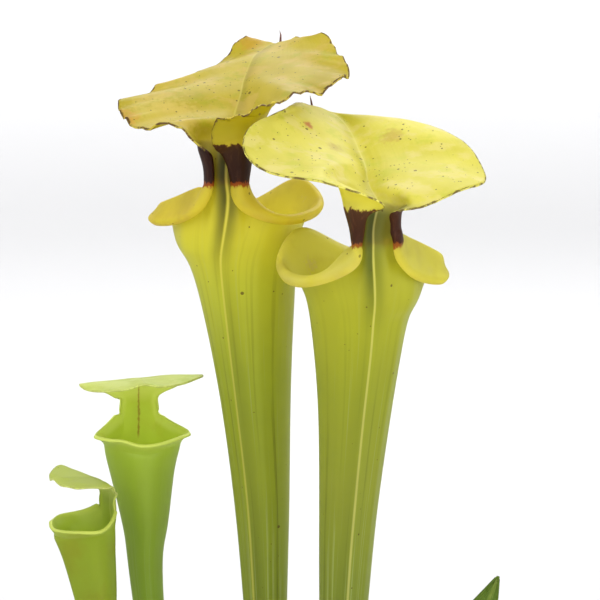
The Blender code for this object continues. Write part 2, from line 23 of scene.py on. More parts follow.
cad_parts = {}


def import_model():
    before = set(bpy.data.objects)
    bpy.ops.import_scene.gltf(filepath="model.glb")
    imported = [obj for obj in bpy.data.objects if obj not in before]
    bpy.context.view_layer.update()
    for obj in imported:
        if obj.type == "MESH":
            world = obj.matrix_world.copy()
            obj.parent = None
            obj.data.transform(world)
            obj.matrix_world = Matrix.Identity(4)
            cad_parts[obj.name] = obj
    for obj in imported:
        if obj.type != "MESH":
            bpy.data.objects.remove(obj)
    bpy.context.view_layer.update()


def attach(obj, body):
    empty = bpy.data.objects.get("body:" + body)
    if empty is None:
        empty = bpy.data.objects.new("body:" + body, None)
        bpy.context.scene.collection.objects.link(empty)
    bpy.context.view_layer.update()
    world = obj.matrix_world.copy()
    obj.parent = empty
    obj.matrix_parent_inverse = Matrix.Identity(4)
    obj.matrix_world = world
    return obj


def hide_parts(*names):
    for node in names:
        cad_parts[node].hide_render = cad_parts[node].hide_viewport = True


log = logging.getLogger("pitchers")

MM = 0.001
BODY = "root"

# Leaves, in millimetres: height of their feet, thickness of a pitcher, and the distance
# from a margin that stands for none. Then the times that a cage is halved, and the
# rounds that fit it to its points.
FOOT = 105.0
SHEET = 0.8
FAR_INSIDE = 60.0
FINE = 3
CAGE_ROUNDS = 6

# Points closer than this, in metres, become one.
MERGE = 0.00001

# Living tissue: strength of its wax, height of its veins in metres, strength of its fine
# relief, and the gamma that brightens the light passing through it.
LEAF_WAX = 0.35
VEIN_LIFT = 0.0003
LEAF_BUMP = 0.6
LEAF_GAMMA = 0.62

# Specks on a lid, in three sizes: cells in a metre, share of them used, radius in cells.
SPECKS = ((190.0, 0.9, 0.15), (340.0, 0.6, 0.2), (560.0, 0.6, 0.22))

VALUES = ("step", "side", "rib", "climb", "margin", "lid", "neck", "row", "lip")

Point = tuple[float, float, float]
Shade = tuple[float, float, float]
Line = tuple[Point, ...]
Rows = tuple[Line, ...]
Pairs = tuple[tuple[float, float], ...]
Inputs = dict[int | str, object]


def linear(shade: Shade) -> tuple[float, float, float, float]:
    """Colour of 0 to 255 as the eye reads it, as a shader takes it."""
    parts = [value / 255.0 for value in shade]
    return (*[p / 12.92 if p <= 0.04045 else ((p + 0.055) / 1.055) ** 2.4 for p in parts], 1.0)


def link_object(name: str, mesh: bpy.types.Mesh,
                finishes: tuple[bpy.types.Material, ...] = ()) -> bpy.types.Object:
    """Object at the origin from a mesh, with its materials.

    Args:
        name: name of the piece.
        mesh: its mesh, in the part's frame.
        finishes: materials, in the order of the mesh's slots.

    Returns:
        The linked object.
    """
    made = bpy.data.objects.new(name, mesh)
    bpy.context.scene.collection.objects.link(made)
    for finish in finishes:
        mesh.materials.append(finish)
    return made


def applied(source: bpy.types.Object) -> bpy.types.Mesh:
    """Mesh of an object with its modifiers worked in; the object itself is removed.

    Args:
        source: the object, with live modifiers.

    Returns:
        The finished mesh.
    """
    graph = bpy.context.evaluated_depsgraph_get()
    mesh = bpy.data.meshes.new_from_object(source.evaluated_get(graph))
    mesh.name = source.name
    bpy.data.objects.remove(source)
    return mesh


@contextmanager
def edited(mesh: bpy.types.Mesh) -> Iterator[bmesh.types.BMesh]:
    """Open a mesh for editing and write it back.

    Args:
        mesh: the mesh to edit.

    Returns:
        The open mesh, for the length of a with block.
    """
    work = bmesh.new()
    work.from_mesh(mesh)
    yield work
    work.to_mesh(mesh)
    work.free()


def lathed(name: str, profile: list[tuple[float, float]], steps: int,
           finish: bpy.types.Material) -> bpy.types.Mesh:
    """Turn a profile about the upright.

    Args:
        name: name of the mesh.
        profile: radii and heights, in metres.
        steps: sides of the turned body.
        finish: its material.

    Returns:
        The turned mesh.
    """
    mesh = bpy.data.meshes.new(name)
    mesh.from_pydata([(radius, 0.0, height) for radius, height in profile],
                     [(i, i + 1) for i in range(len(profile) - 1)], [])
    guide = link_object(f"{name} guide", mesh, (finish,))
    screw = guide.modifiers.new("Turn", "SCREW")
    screw.steps = screw.render_steps = steps
    screw.use_merge_vertices = True
    screw.merge_threshold = MERGE
    return applied(guide)


def dress(piece: bpy.types.Object, node: str) -> None:
    """Ride a piece on the plant's body in place of its CAD node.

    Args:
        piece: the finished piece.
        node: CAD node that it replaces.
    """
    piece.data.shade_smooth()
    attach(piece, BODY)
    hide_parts(node)
    log.info("%s: %d faces", piece.name, len(piece.data.polygons))


# ---------------------------------------------------------------- finishes


def grown(tree: bpy.types.NodeTree, kind: str, inputs: Inputs | None = None,
          **options: object) -> bpy.types.Node:
    """Add a node, set its options and feed its inputs.

    Args:
        tree: tree to add to.
        kind: type of the node.
        inputs: a signal, a socket or a constant for each input, by name or number.
        options: values of the node's own options.

    Returns:
        The new node.
    """
    made = tree.nodes.new(kind)
    for name, value in options.items():
        setattr(made, name, value)
    for key, value in (inputs or {}).items():
        if isinstance(value, Signal):
            value = value.socket
        if isinstance(value, bpy.types.NodeSocket):
            tree.links.new(value, made.inputs[key])
        else:
            made.inputs[key].default_value = value
    return made


@dataclass(frozen=True)
class Signal:
    """Output of a shader node, which adds, multiplies and fades as a number does."""

    bench: Bench
    socket: bpy.types.NodeSocket

    def __mul__(self, other: Signal | float) -> Signal:
        """Product."""
        return self.bench.math("MULTIPLY", self, other)

    def __add__(self, other: Signal | float) -> Signal:
        """Sum."""
        return self.bench.math("ADD", self, other)

    def __sub__(self, other: Signal | float) -> Signal:
        """Difference."""
        return self.bench.math("SUBTRACT", self, other)

    def band(self, low: float, high: float) -> Signal:
        """Smooth step from 0 at low to 1 at high; low may be the higher number.

        Args:
            low: where it is 0.
            high: where it is 1.

        Returns:
            The step.
        """
        ends = (1.0, 0.0) if low > high else (0.0, 1.0)
        return self.bench.add("ShaderNodeMapRange", {
            "Value": self, "From Min": min(low, high), "From Max": max(low, high),
            "To Min": ends[0], "To Max": ends[1]}, "Result", interpolation_type="SMOOTHSTEP")


class Bench:
    """Node tree of one material, built by plain calls."""

    def __init__(self, name: str) -> None:
        """Start an empty material.

        Args:
            name: name of the material.
        """
        self.material = bpy.data.materials.new(name)
        self.material.use_nodes = True
        self.tree = self.material.node_tree
        self.tree.nodes.clear()

    def add(self, kind: str, inputs: Inputs | None = None, output: int | str = 0,
            **options: object) -> Signal:
        """Add a node, as grown does, and return one of its outputs."""
        return Signal(self, grown(self.tree, kind, inputs, **options).outputs[output])

    def math(self, operation: str, first: Signal | bpy.types.NodeSocket,
             second: Signal | float) -> Signal:
        """One math node of two signals, or of a signal and a number."""
        return self.add("ShaderNodeMath", {0: first, 1: second}, operation=operation)

    def attribute(self, label: str) -> Signal:
        """Named value that the mesh carries."""
        return self.add("ShaderNodeAttribute", None, "Fac", attribute_name=label)

    def place(self) -> Signal:
        """Object coordinates."""
        return self.add("ShaderNodeTexCoord", None, "Object")

    def height(self) -> Signal:
        """Height above the ground, in metres."""
        return self.add("ShaderNodeSeparateXYZ", {0: self.place()}, "Z")

    def vector(self, x: Signal, y: Signal) -> Signal:
        """Flat vector of two signals."""
        return self.add("ShaderNodeCombineXYZ", {0: x, 1: y})

    def scaled(self, where: Signal, scale: Point) -> Signal:
        """Coordinates stretched by a scale for each axis."""
        return self.add("ShaderNodeMapping", {"Vector": where, "Scale": scale})

    def noise(self, where: Signal, scale: float, detail: float = 3.0,
              roughness: float = 0.5) -> Signal:
        """Noise of 0 to 1 over some coordinates."""
        return self.add("ShaderNodeTexNoise", {"Vector": where, "Scale": scale, "Detail": detail,
                                               "Roughness": roughness}, "Fac")

    def over(self, ground: Signal | Shade, share: Signal, shade: Signal | Shade) -> Signal:
        """Lay a colour over another one by a share of 0 to 1."""
        first, second = (linear(c) if isinstance(c, tuple) else c for c in (ground, shade))
        return self.add("ShaderNodeMix", {0: share, 6: first, 7: second}, 2, data_type="RGBA")

    def ramp(self, value: Signal, stops: tuple[tuple[float, Shade], ...]) -> Signal:
        """Colour that follows a value through stops.

        Args:
            value: the value to follow.
            stops: values with their colours, from the lowest up.

        Returns:
            The colour.
        """
        low, high = stops[0][0], stops[-1][0]
        share = self.add("ShaderNodeMapRange", {"Value": value, "From Min": low,
                                                "From Max": high}, "Result")
        made = grown(self.tree, "ShaderNodeValToRGB", {0: share})
        elements = made.color_ramp.elements
        while len(elements) < len(stops):
            elements.new(0.5)
        for element, (at, shade) in zip(elements, stops):
            element.position = (at - low) / (high - low)
            element.color = linear(shade)
        return Signal(self, made.outputs["Color"])

    def specks(self, scale: float, share: Signal | float, radius: float) -> Signal:
        """Mask of small scattered dots.

        Args:
            scale: cells in a metre.
            share: share of the cells that hold a dot.
            radius: radius of the largest dot, in cells.

        Returns:
            The mask, 1 on a dot.
        """
        dots = grown(self.tree, "ShaderNodeTexVoronoi", {"Vector": self.place(), "Scale": scale})
        chosen = grown(self.tree, "ShaderNodeSeparateXYZ", {0: dots.outputs["Color"]}).outputs
        size = Signal(self, chosen["Y"]) * radius
        inside = self.math("LESS_THAN", dots.outputs["Distance"], size)
        return self.math("LESS_THAN", chosen["X"], share) * inside

    def finish(self, colour: Signal, roughness: Signal | float, relief: Signal, lift: float,
               shine: float, through: float = 0.0, glow: Signal | None = None,
               ) -> bpy.types.Material:
        """Finish the material.

        Args:
            colour: colour of the face.
            roughness: its roughness.
            relief: height of the fine relief, 0 to 1.
            lift: height of that relief, in metres.
            shine: strength of the highlights.
            through: share of the light that passes through it, as in a leaf.
            glow: strength of white light that it gives off, if any.

        Returns:
            The finished material.
        """
        bump = self.add("ShaderNodeBump", {"Height": relief, "Distance": lift,
                                           "Strength": LEAF_BUMP if through else 1.0})
        inputs = {"Base Color": colour, "Roughness": roughness, "Specular IOR Level": shine,
                  "Normal": bump}
        if glow is not None:
            inputs |= {"Emission Color": (1.0, 1.0, 1.0, 1.0), "Emission Strength": glow}
        face = self.add("ShaderNodeBsdfPrincipled", inputs)
        if through:
            bright = self.add("ShaderNodeGamma", {"Color": colour, "Gamma": LEAF_GAMMA})
            tissue = self.add("ShaderNodeBsdfTranslucent", {"Color": bright})
            face = self.add("ShaderNodeMixShader", {0: through, 1: face, 2: tissue})
        grown(self.tree, "ShaderNodeOutputMaterial", {"Surface": face})
        return self.material


class Face(Enum):
    """The two faces of a leaf's sheet."""

    OUTER = "outer"
    INNER = "inner"


@dataclass(frozen=True)
class Mark:
    """A coloured patch on one face of a leaf, a spot of its own colour or a painted highlight:
    centre and radius in metres.
    """

    face: Face
    centre: Point
    radius: float
    shade: Shade
    strength: float


@dataclass(frozen=True, kw_only=True)
class PitcherFinish:
    """Colours and wax of one pitcher, from foot to lid; reaches are heights in metres."""

    name: str
    heights: tuple[tuple[float, Shade], ...]
    lid: Shade
    lid_dark: Shade
    lid_green: Shade
    lid_pale: Shade
    keel: Shade
    # Dark green of the painted shade in the furrows beside the keel; it also darkens streaks low on
    # the tube.
    groove_shade_and_streaks: Shade
    groove_shade_reach: tuple[float, float]
    groove_shade_sides: tuple[float, float] = (0.3, 0.3)
    groove_shade_floor: float = 0.0
    lip: Shade
    bowl: Shade
    # Darker colour of the lid's lower face: painted shade.
    shaded_underside: Shade
    flank: Shade = (166, 180, 56)
    flank_vein: Shade = (166, 180, 56)
    flank_edge: Shade = (166, 180, 56)
    flank_reach: tuple[float, float] = (0.50, 0.51)
    margin: Shade
    margin_width: float = 0.3
    speck_share: float = 0.02
    marks: tuple[Mark, ...] = ()
    # Pale colour of the tube's waxy streaks, also laid on as painted sheen at its edges.
    bloom_and_sheen: Shade = (176, 190, 118)
    throat: Shade = (134, 78, 34)
    throat_reach: tuple[float, float] = (0.0, 0.01)
    cloud: Shade = (120, 140, 40)
    stain: Shade = (176, 150, 44)
    speck: Shade = (84, 66, 30)
    fleck: Shade = (96, 70, 34)
    through: float = 0.54

    def veins(self, bench: Bench) -> Signal:
        """Relief of the veins, which fan out over the crinkled lid and run down the tube.

        Args:
            bench: the face's node tree.

        Returns:
            The height, 0 to 1.
        """
        fan = bench.vector(bench.attribute("step") * 16.0, bench.attribute("climb") * 0.02)
        blade = (bench.noise(fan, 1.6, 2.0)
                 + bench.noise(bench.place(), 95.0, 4.0, 0.55) * 1.1)
        streaks = bench.noise(bench.scaled(bench.place(), (520.0, 520.0, 14.0)), 1.0, 2.0)
        return bench.add("ShaderNodeMix", {0: bench.attribute("lid"), 2: streaks, 3: blade},
                         data_type="FLOAT")

    def marked(self, bench: Bench, colour: Signal, face: Face) -> Signal:
        """Lay the face's ragged patches over a colour.

        Args:
            bench: the face's node tree.
            colour: colour below the patches.
            face: which face it is.

        Returns:
            The patched colour.
        """
        where = bench.place()
        for mark in self.marks:
            if mark.face is face:
                away = bench.add("ShaderNodeVectorMath", {0: where, 1: mark.centre}, "Value",
                                 operation="DISTANCE")
                ragged = (bench.noise(where, 420.0, 4.0) - 0.5) * (mark.radius * 1.4)
                share = (away + ragged).band(mark.radius, mark.radius * 0.35) * mark.strength
                colour = bench.over(colour, share, mark.shade)
        return colour

    def browned(self, bench: Bench, colour: Signal) -> Signal:
        """Darken the lid's margin in ragged spots.

        Args:
            bench: the face's node tree.
            colour: colour below the spots.

        Returns:
            The browned colour.
        """
        wander = (bench.noise(bench.place(), 330.0, 4.0, 0.65) - 0.5) * (self.margin_width * 6.0)
        rim = (bench.attribute("margin") + wander).band(self.margin_width,
                                                        self.margin_width * 0.3)
        return bench.over(colour, rim * bench.attribute("lid"), self.margin)

    def tube_shade(self, bench: Bench) -> Signal:
        """Colour of the tube's outside, with pale waxy streaks and darker green ones low down.

        Args:
            bench: the face's node tree.

        Returns:
            The colour.
        """
        low, high = self.groove_shade_reach
        cloud = bench.noise(bench.place(), 38.0, 4.0, 0.55).band(0.45, 0.75)
        colour = bench.over(bench.ramp(bench.height(), self.heights), cloud * 0.12, self.cloud)
        streaks = bench.vector(bench.attribute("side") * 9.0, bench.attribute("climb") * 0.004)
        along = bench.noise(streaks, 1.0, 4.0, 0.6)
        low_part = bench.height().band(high + 0.01, low - 0.09)
        colour = bench.over(colour, along.band(0.55, 0.64) * 0.65 * low_part, self.bloom_and_sheen)
        return bench.over(colour, along.band(0.45, 0.36) * 0.5 * low_part, self.groove_shade_and_streaks)

    def lid_shade(self, bench: Bench) -> Signal:
        """Colour of the lid's top, mottled darker, greener and paler.

        Args:
            bench: the face's node tree.

        Returns:
            The colour.
        """
        where = bench.place()
        cloud = bench.noise(where, 38.0, 4.0, 0.55)
        blotch = bench.noise(where, 160.0, 3.0)
        green = bench.noise(bench.scaled(where, (70.0, 70.0, 110.0)), 1.0, 5.0, 0.7)
        pale = bench.noise(bench.scaled(where, (62.0, 88.0, 88.0)), 1.0, 4.0, 0.6)
        colour = bench.over(self.lid, cloud.band(0.35, 0.7), self.lid_dark)
        for share, shade in ((blotch.band(0.5, 0.8) * 0.25, self.lid_dark),
                             (green.band(0.5, 0.66) * 0.65, self.lid_green),
                             (pale.band(0.5, 0.64) * 0.65, self.lid_pale)):
            colour = bench.over(colour, share, shade)
        return colour

    def keeled_and_shaded(self, bench: Bench, colour: Signal) -> Signal:
        """Lay the pale keel over a colour, with dark green painted shade in the furrow on each side
        of it.

        Args:
            bench: the face's node tree.
            colour: colour beside them.

        Returns:
            The colour with both.
        """
        rib, side = bench.attribute("rib"), bench.attribute("side")
        low, high = self.groove_shade_reach
        shaded = bench.height().band(low, high) * bench.attribute("lid").band(0.6, 0.0)
        # Painted shade: dark green in the furrow on each side of the keel through the throat's
        # height, and on one side, weaker, down the whole tube.
        for way, least, strength in zip((1.0, -1.0), (self.groove_shade_floor, 0.0),
                                        self.groove_shade_sides):
            share = ((side * way).band(0.0, 0.04) * rib.band(7.5, 1.2)
                     * bench.math("MAXIMUM", shaded, least) * strength)
            colour = bench.over(colour, share, self.groove_shade_and_streaks)
        return bench.over(colour, rib.band(0.65, 0.25) * 0.45, self.keel)

    def speckled(self, bench: Bench, colour: Signal) -> Signal:
        """Lay grouped specks over a colour, many on the lid and few on the tube.

        Args:
            bench: the face's node tree.
            colour: colour between the specks.

        Returns:
            The speckled colour.
        """
        group = bench.noise(bench.place(), 62.0, 2.0).band(0.4, 0.6)
        often = bench.attribute("lid") * group + 0.06
        for cells, share, radius in SPECKS:
            dots = bench.specks(cells, often * (self.speck_share * share), radius)
            colour = bench.over(colour, dots * 0.85, self.speck)
        return colour

    def outer(self) -> bpy.types.Material:
        """Face that is the tube's outside and the lid's top.

        Returns:
            The material.
        """
        bench = Bench(f"{self.name} outside")
        on_lid = bench.attribute("lid")
        colour = bench.over(self.tube_shade(bench), on_lid, self.lid_shade(bench))
        colour = self.keeled_and_shaded(bench, colour)
        tucked = bench.attribute("margin").band(3.0, 1.6) * bench.attribute("lip").band(0.1, 0.4)
        colour = bench.over(colour, tucked, self.lip)
        colour = self.browned(bench, self.marked(bench, colour, Face.OUTER))
        colour = self.speckled(bench, colour)
        # Painted sheen: the pale colour is laid over the tube, away from the lid, where the face is
        # seen at a grazing angle, so that its edges look lit.
        graze = bench.add("ShaderNodeLayerWeight", {"Blend": 0.35}, "Facing")
        painted_grazing_sheen = graze.band(0.25, 0.95) * 0.6 * on_lid.band(1.0, 0.0)
        colour = bench.over(colour, painted_grazing_sheen, self.bloom_and_sheen)
        return bench.finish(colour, 0.42, self.veins(bench), VEIN_LIFT, LEAF_WAX, self.through)

    def lined(self, bench: Bench, colour: Signal) -> Signal:
        """Lay the ragged line up the back of the throat over a colour.

        Args:
            bench: the face's node tree.
            colour: colour beside the line.

        Returns:
            The colour with the line.
        """
        low, high = self.throat_reach
        tall = bench.height()
        ragged = bench.attribute("rib") + bench.noise(bench.place(), 700.0) * 1.1
        line = ragged.band(1.3, 0.7) * tall.band(low, low + 0.004) * tall.band(high, high - 0.004)
        return bench.over(colour, line * 0.75, self.throat)

    def flanked(self, bench: Bench, colour: Signal) -> Signal:
        """Lay the dark veined flanks of the column, bright at their lower end, over a colour.

        Args:
            bench: the face's node tree.
            colour: colour beside the flanks.

        Returns:
            The colour with the flanks.
        """
        low, high = self.flank_reach
        where = bench.place()
        grain = bench.noise(bench.scaled(where, (1.0, 1.0, 0.45)), 520.0, 4.0, 0.6)
        wandering = bench.height() + (grain - 0.5) * 0.0065
        streaks = bench.noise(bench.scaled(where, (700.0, 700.0, 90.0)), 1.0)
        dark = bench.over(self.flank, streaks.band(0.5, 0.75), self.flank_vein)
        for reach, shade, soft in ((0.0017, self.flank_edge, 0.0012), (0.0, dark, 0.0007)):
            share = (wandering.band(low - reach - soft, low - reach)
                     * wandering.band(high + 0.0012, high)
                     * bench.attribute("neck").band(0.15, 0.45))
            colour = bench.over(colour, share, shade)
        return colour

    def inner(self) -> bpy.types.Material:
        """Face that is the tube's inside, the lip, the rolled flanks and the lid's lower face,
        which carries painted shade.

        Returns:
            The material.
        """
        bench = Bench(f"{self.name} inside")
        colour = bench.over(self.lip, bench.attribute("margin").band(2.6, 5.0), self.bowl)
        stained = bench.noise(bench.place(), 60.0, 4.0, 0.55).band(0.45, 0.75) * 0.3
        colour = bench.over(colour, stained, self.stain)
        worn = bench.noise(bench.place(), 48.0).band(0.48, 0.66) * bench.attribute("lip") * 0.55
        colour = bench.over(colour, worn, self.lid_pale)
        # Painted shade: the lid takes a darker, more saturated colour on its lower face, standing
        # in for the shade under it.
        colour = bench.over(colour, bench.attribute("lid"), self.shaded_underside)
        colour = self.lined(bench, self.marked(bench, colour, Face.INNER))
        colour = self.browned(bench, self.flanked(bench, colour))
        dots = bench.specks(210.0, self.speck_share * 0.5, 0.15) * 0.7
        colour = bench.over(colour, dots, self.fleck)
        return bench.finish(colour, 0.36, self.veins(bench), VEIN_LIFT, LEAF_WAX,
                            self.through * 1.3)

    def rim(self) -> bpy.types.Material:
        """Thin cut edge: bright on the lip, browned on the lid.

        Returns:
            The material.
        """
        bench = Bench(f"{self.name} edge")
        grain = bench.noise(bench.place(), 260.0, 4.0, 0.65)
        worn = bench.over(self.lid, grain.band(0.42, 0.56), self.margin)
        colour = bench.over(self.lip, bench.attribute("lid").band(0.1, 0.5), worn)
        return bench.finish(colour, 0.55, grain, 0.0002, LEAF_WAX, self.through * 0.5)

    def faces(self) -> tuple[bpy.types.Material, ...]:
        """Materials of the outer face, the inner face and the cut edge."""
        return self.outer(), self.inner(), self.rim()


@dataclass(frozen=True)
class BladeFinish:
    """Plain green blade with lengthwise veins."""

    green: Shade = (80, 106, 16)
    pale: Shade = (100, 124, 26)
    midrib: Shade = (128, 146, 54)
    foot: Shade = (150, 120, 84)

    def faces(self) -> tuple[bpy.types.Material, ...]:
        """One material for both faces and the edge.

        Returns:
            The material, three times.
        """
        bench = Bench("Sword leaf")
        lines = bench.noise(bench.vector(bench.attribute("step") * 26.0,
                                         bench.attribute("climb") * 0.012), 1.0)
        colour = bench.over(self.green, lines.band(0.4, 0.65), self.pale)
        colour = bench.over(colour, bench.attribute("rib").band(0.9, 0.3) * 0.6, self.midrib)
        colour = bench.over(colour, bench.height().band(0.15, 0.112), self.foot)
        return (bench.finish(colour, 0.45, lines, 0.0004, LEAF_WAX, 0.22),) * 3


@dataclass(frozen=True)
class PotFinish:
    """Dark moulded plastic with dust in its pores and a little splashed soil."""

    body: Shade = (50, 51, 53)
    worn: Shade = (74, 74, 75)
    splash: Shade = (92, 76, 60)

    def build(self) -> bpy.types.Material:
        """Make the material.

        Returns:
            The material.
        """
        bench = Bench("Pot plastic")
        where = bench.place()
        wear = bench.noise(where, 34.0, 6.0, 0.6)
        colour = bench.over(self.body, wear.band(0.45, 0.75), self.worn)
        low = bench.height().band(0.03, 0.0) * bench.noise(where, 90.0, 5.0, 0.7).band(0.5, 0.7)
        colour = bench.over(colour, low * 0.5, self.splash)
        grain = bench.noise(where, 1400.0, 3.0, 0.6)
        return bench.finish(colour, wear * 0.22 + 0.36, grain, 0.0002, 0.45)


@dataclass(frozen=True)
class EarthFinish:
    """Crumbly stuff in or on the soil, in two shades."""

    name: str
    dark: Shade
    light: Shade
    scale: float = 260.0
    lift: float = 0.0008

    def build(self) -> bpy.types.Material:
        """Make the material.

        Returns:
            The material.
        """
        bench = Bench(self.name)
        grain = bench.noise(bench.place(), self.scale, 6.0, 0.65)
        colour = bench.over(self.dark, grain.band(0.35, 0.68), self.light)
        return bench.finish(colour, 0.92, grain, self.lift, 0.2)


# ---------------------------------------------------------------- leaf sheets


class LeafCage:
    """Coarse cage of a leaf's sheet in millimetres, with named values at its points.

    step and side run from -1 to 1 across the blade and round the tube. rib is the distance
    from the midrib, climb the length from the foot and margin the distance from the nearest
    margin. lid, neck and lip say how far a point belongs to that part, and row counts the
    sections up the lid.
    """

    def __init__(self) -> None:
        """Start empty."""
        self.points: list[np.ndarray] = []
        self.faces: list[tuple[int, ...]] = []
        self.values: list[dict[str, float]] = []

    def add(self, point: Point | np.ndarray, **values: float) -> int:
        """Add a point with its named values and return its number.

        Args:
            point: across, away and up.
            values: the named values there.

        Returns:
            The point's number.
        """
        self.points.append(np.asarray(point, float))
        self.values.append(values)
        return len(self.points) - 1

    def join(self, first: list[int], second: list[int], closed: bool = False) -> None:
        """Join two rows of points with quads.

        Args:
            first: numbers of the points of one row.
            second: those of the other row.
            closed: whether the rows are rings.
        """
        for i in range(len(first) if closed else len(first) - 1):
            j = (i + 1) % len(first)
            self.faces.append((first[i], first[j], second[j], second[i]))

    def settled(self) -> np.ndarray:
        """Points moved so that the smoothed surface runs through the given ones.

        Returns:
            The moved points.
        """
        points = np.array(self.points)
        sides: dict[frozenset[int], int] = {}
        faces_at: list[list[tuple[int, ...]]] = [[] for _ in points]
        for face in self.faces:
            for i, corner in enumerate(face):
                key = frozenset((corner, face[i - 1]))
                sides[key] = sides.get(key, 0) + 1
                faces_at[corner].append(face)
        near: list[list[int]] = [[] for _ in points]
        rim: list[list[int]] = [[] for _ in points]
        for key, count in sides.items():
            a, b = key
            for here, there in ((a, b), (b, a)):
                near[here].append(there)
                if count == 1:
                    rim[here].append(there)
        weights = np.zeros((len(points), len(points)))
        for here in range(len(points)):
            if rim[here]:
                weights[here, here] = 2.0 / 3.0
                weights[here, rim[here]] = 1.0 / 6.0
                continue
            n = len(near[here])
            share = 4.0 / (n * (n + 5.0))
            weights[here, here] = (n - 3.0) / (n + 5.0) + n * share / 2.0
            weights[here, near[here]] += share / 2.0
            for face in faces_at[here]:
                weights[here, list(face)] += share / len(face)
        cage = points.copy()
        for _ in range(CAGE_ROUNDS):
            cage += points - weights @ cage
        return cage

    def mesh(self, name: str) -> bpy.types.Mesh:
        """Cage as a mesh in metres, its faces turned to the leaf's outer face.

        Args:
            name: name of the mesh.

        Returns:
            The mesh, with its named values.
        """
        made = bpy.data.meshes.new(name)
        made.from_pydata([tuple(p) for p in self.settled() * MM], [], self.faces)
        for label in VALUES:
            column = [values.get(label, 0.0) for values in self.values]
            made.attributes.new(label, "FLOAT", "POINT").data.foreach_set("value", column)
        with edited(made) as work:
            bmesh.ops.recalc_face_normals(work, faces=work.faces)
            work.faces.ensure_lookup_table()
            first = work.faces[0]
            lowest = min(v.co.z for v in work.verts)
            ring = [v.co for v in work.verts if v.co.z < lowest + 2.0 * MM]
            away = first.calc_center_median() - sum(ring, Vector()) / len(ring)
            if first.normal.dot(Vector((away.x, away.y, 0.0))) < 0.0:
                bmesh.ops.reverse_faces(work, faces=work.faces)
        return made

    def smoothed(self, name: str) -> tuple[bpy.types.Mesh, dict[str, np.ndarray]]:
        """Smooth the cage to its fine sheet, and read the sheet's named values.

        Args:
            name: name of the sheet.

        Returns:
            The sheet, and its values by name.
        """
        guide = link_object(name, self.mesh(name))
        smooth = guide.modifiers.new("Smooth", "SUBSURF")
        smooth.levels = smooth.render_levels = FINE
        sheet = applied(guide)
        found = {}
        for label in VALUES:
            found[label] = np.empty(len(sheet.vertices))
            sheet.attributes[label].data.foreach_get("value", found[label])
        return sheet, found


def thickened(name: str, mesh: bpy.types.Mesh, thickness: float,
              faces: tuple[bpy.types.Material, ...], bead: float = 0.0,
              swell: np.ndarray | None = None) -> bpy.types.Object:
    """Thicken a sheet to a closed leaf with a material for each face and the edge.

    Args:
        name: name of the piece.
        mesh: the fine sheet.
        thickness: its thickness in millimetres.
        faces: materials of the outer face, the inner face and the edge.
        bead: extra thickness where the sheet swells fully, in millimetres.
        swell: share of the bead at each of the sheet's first points.

    Returns:
        The finished leaf.
    """
    guide = link_object(f"{name} sheet", mesh, faces)
    solid = guide.modifiers.new("Thickness", "SOLIDIFY")
    solid.thickness = (thickness + bead) * MM
    if swell is not None and bead > 0.0:
        group = guide.vertex_groups.new(name="Bead")
        for i, weight in enumerate(swell):
            group.add([i], float(weight), "REPLACE")
        solid.vertex_group = group.name
        solid.thickness_vertex_group = thickness / (thickness + bead)
    solid.offset = 0.0
    solid.material_offset = 1
    solid.material_offset_rim = 2
    return link_object(name, applied(guide))


def lid_section(midrib: Point, margins: tuple[Point, Point], bends: tuple[Line, Line],
                steps: tuple[float, ...], camber: float) -> list[tuple[float, ...]]:
    """Section across a lid from one margin over the midrib to the other one.

    Args:
        midrib: its middle point.
        margins: its end points.
        bends: points of its own for a half that is rolled, or none.
        steps: shares of the way to the margin where the others get a point.
        camber: how high the others arch.

    Returns:
        The section's points.
    """
    halves = []
    for margin, bent in zip(margins, bends):
        half = []
        for step in steps:
            point = np.asarray(midrib, float) * (1 - step) + np.asarray(margin, float) * step
            point[2] += camber * 4.0 * step * (1.0 - step)
            half.append(tuple(point))
        halves.append(list(bent) + [margin] if bent else half)
    return halves[0][::-1] + [tuple(midrib)] + halves[1]


def lengths(line: list[np.ndarray]) -> np.ndarray:
    """Length run along a line of points, from 0."""
    steps = np.linalg.norm(np.diff(np.array(line), axis=0), axis=1)
    return np.concatenate(([0.0], np.cumsum(steps)))


def wavy(position: np.ndarray, crests: Pairs) -> np.ndarray:
    """Smooth line through crests and troughs.

    Args:
        position: where to read it.
        crests: positions and heights, in order.

    Returns:
        The heights.
    """
    places, heights = np.array(crests, float).T
    found = np.clip(np.searchsorted(places, position) - 1, 0, len(places) - 2)
    share = np.clip((position - places[found]) / (places[found + 1] - places[found]), 0.0, 1.0)
    share = 0.5 - 0.5 * np.cos(np.pi * share)
    return heights[found] * (1.0 - share) + heights[found + 1] * share


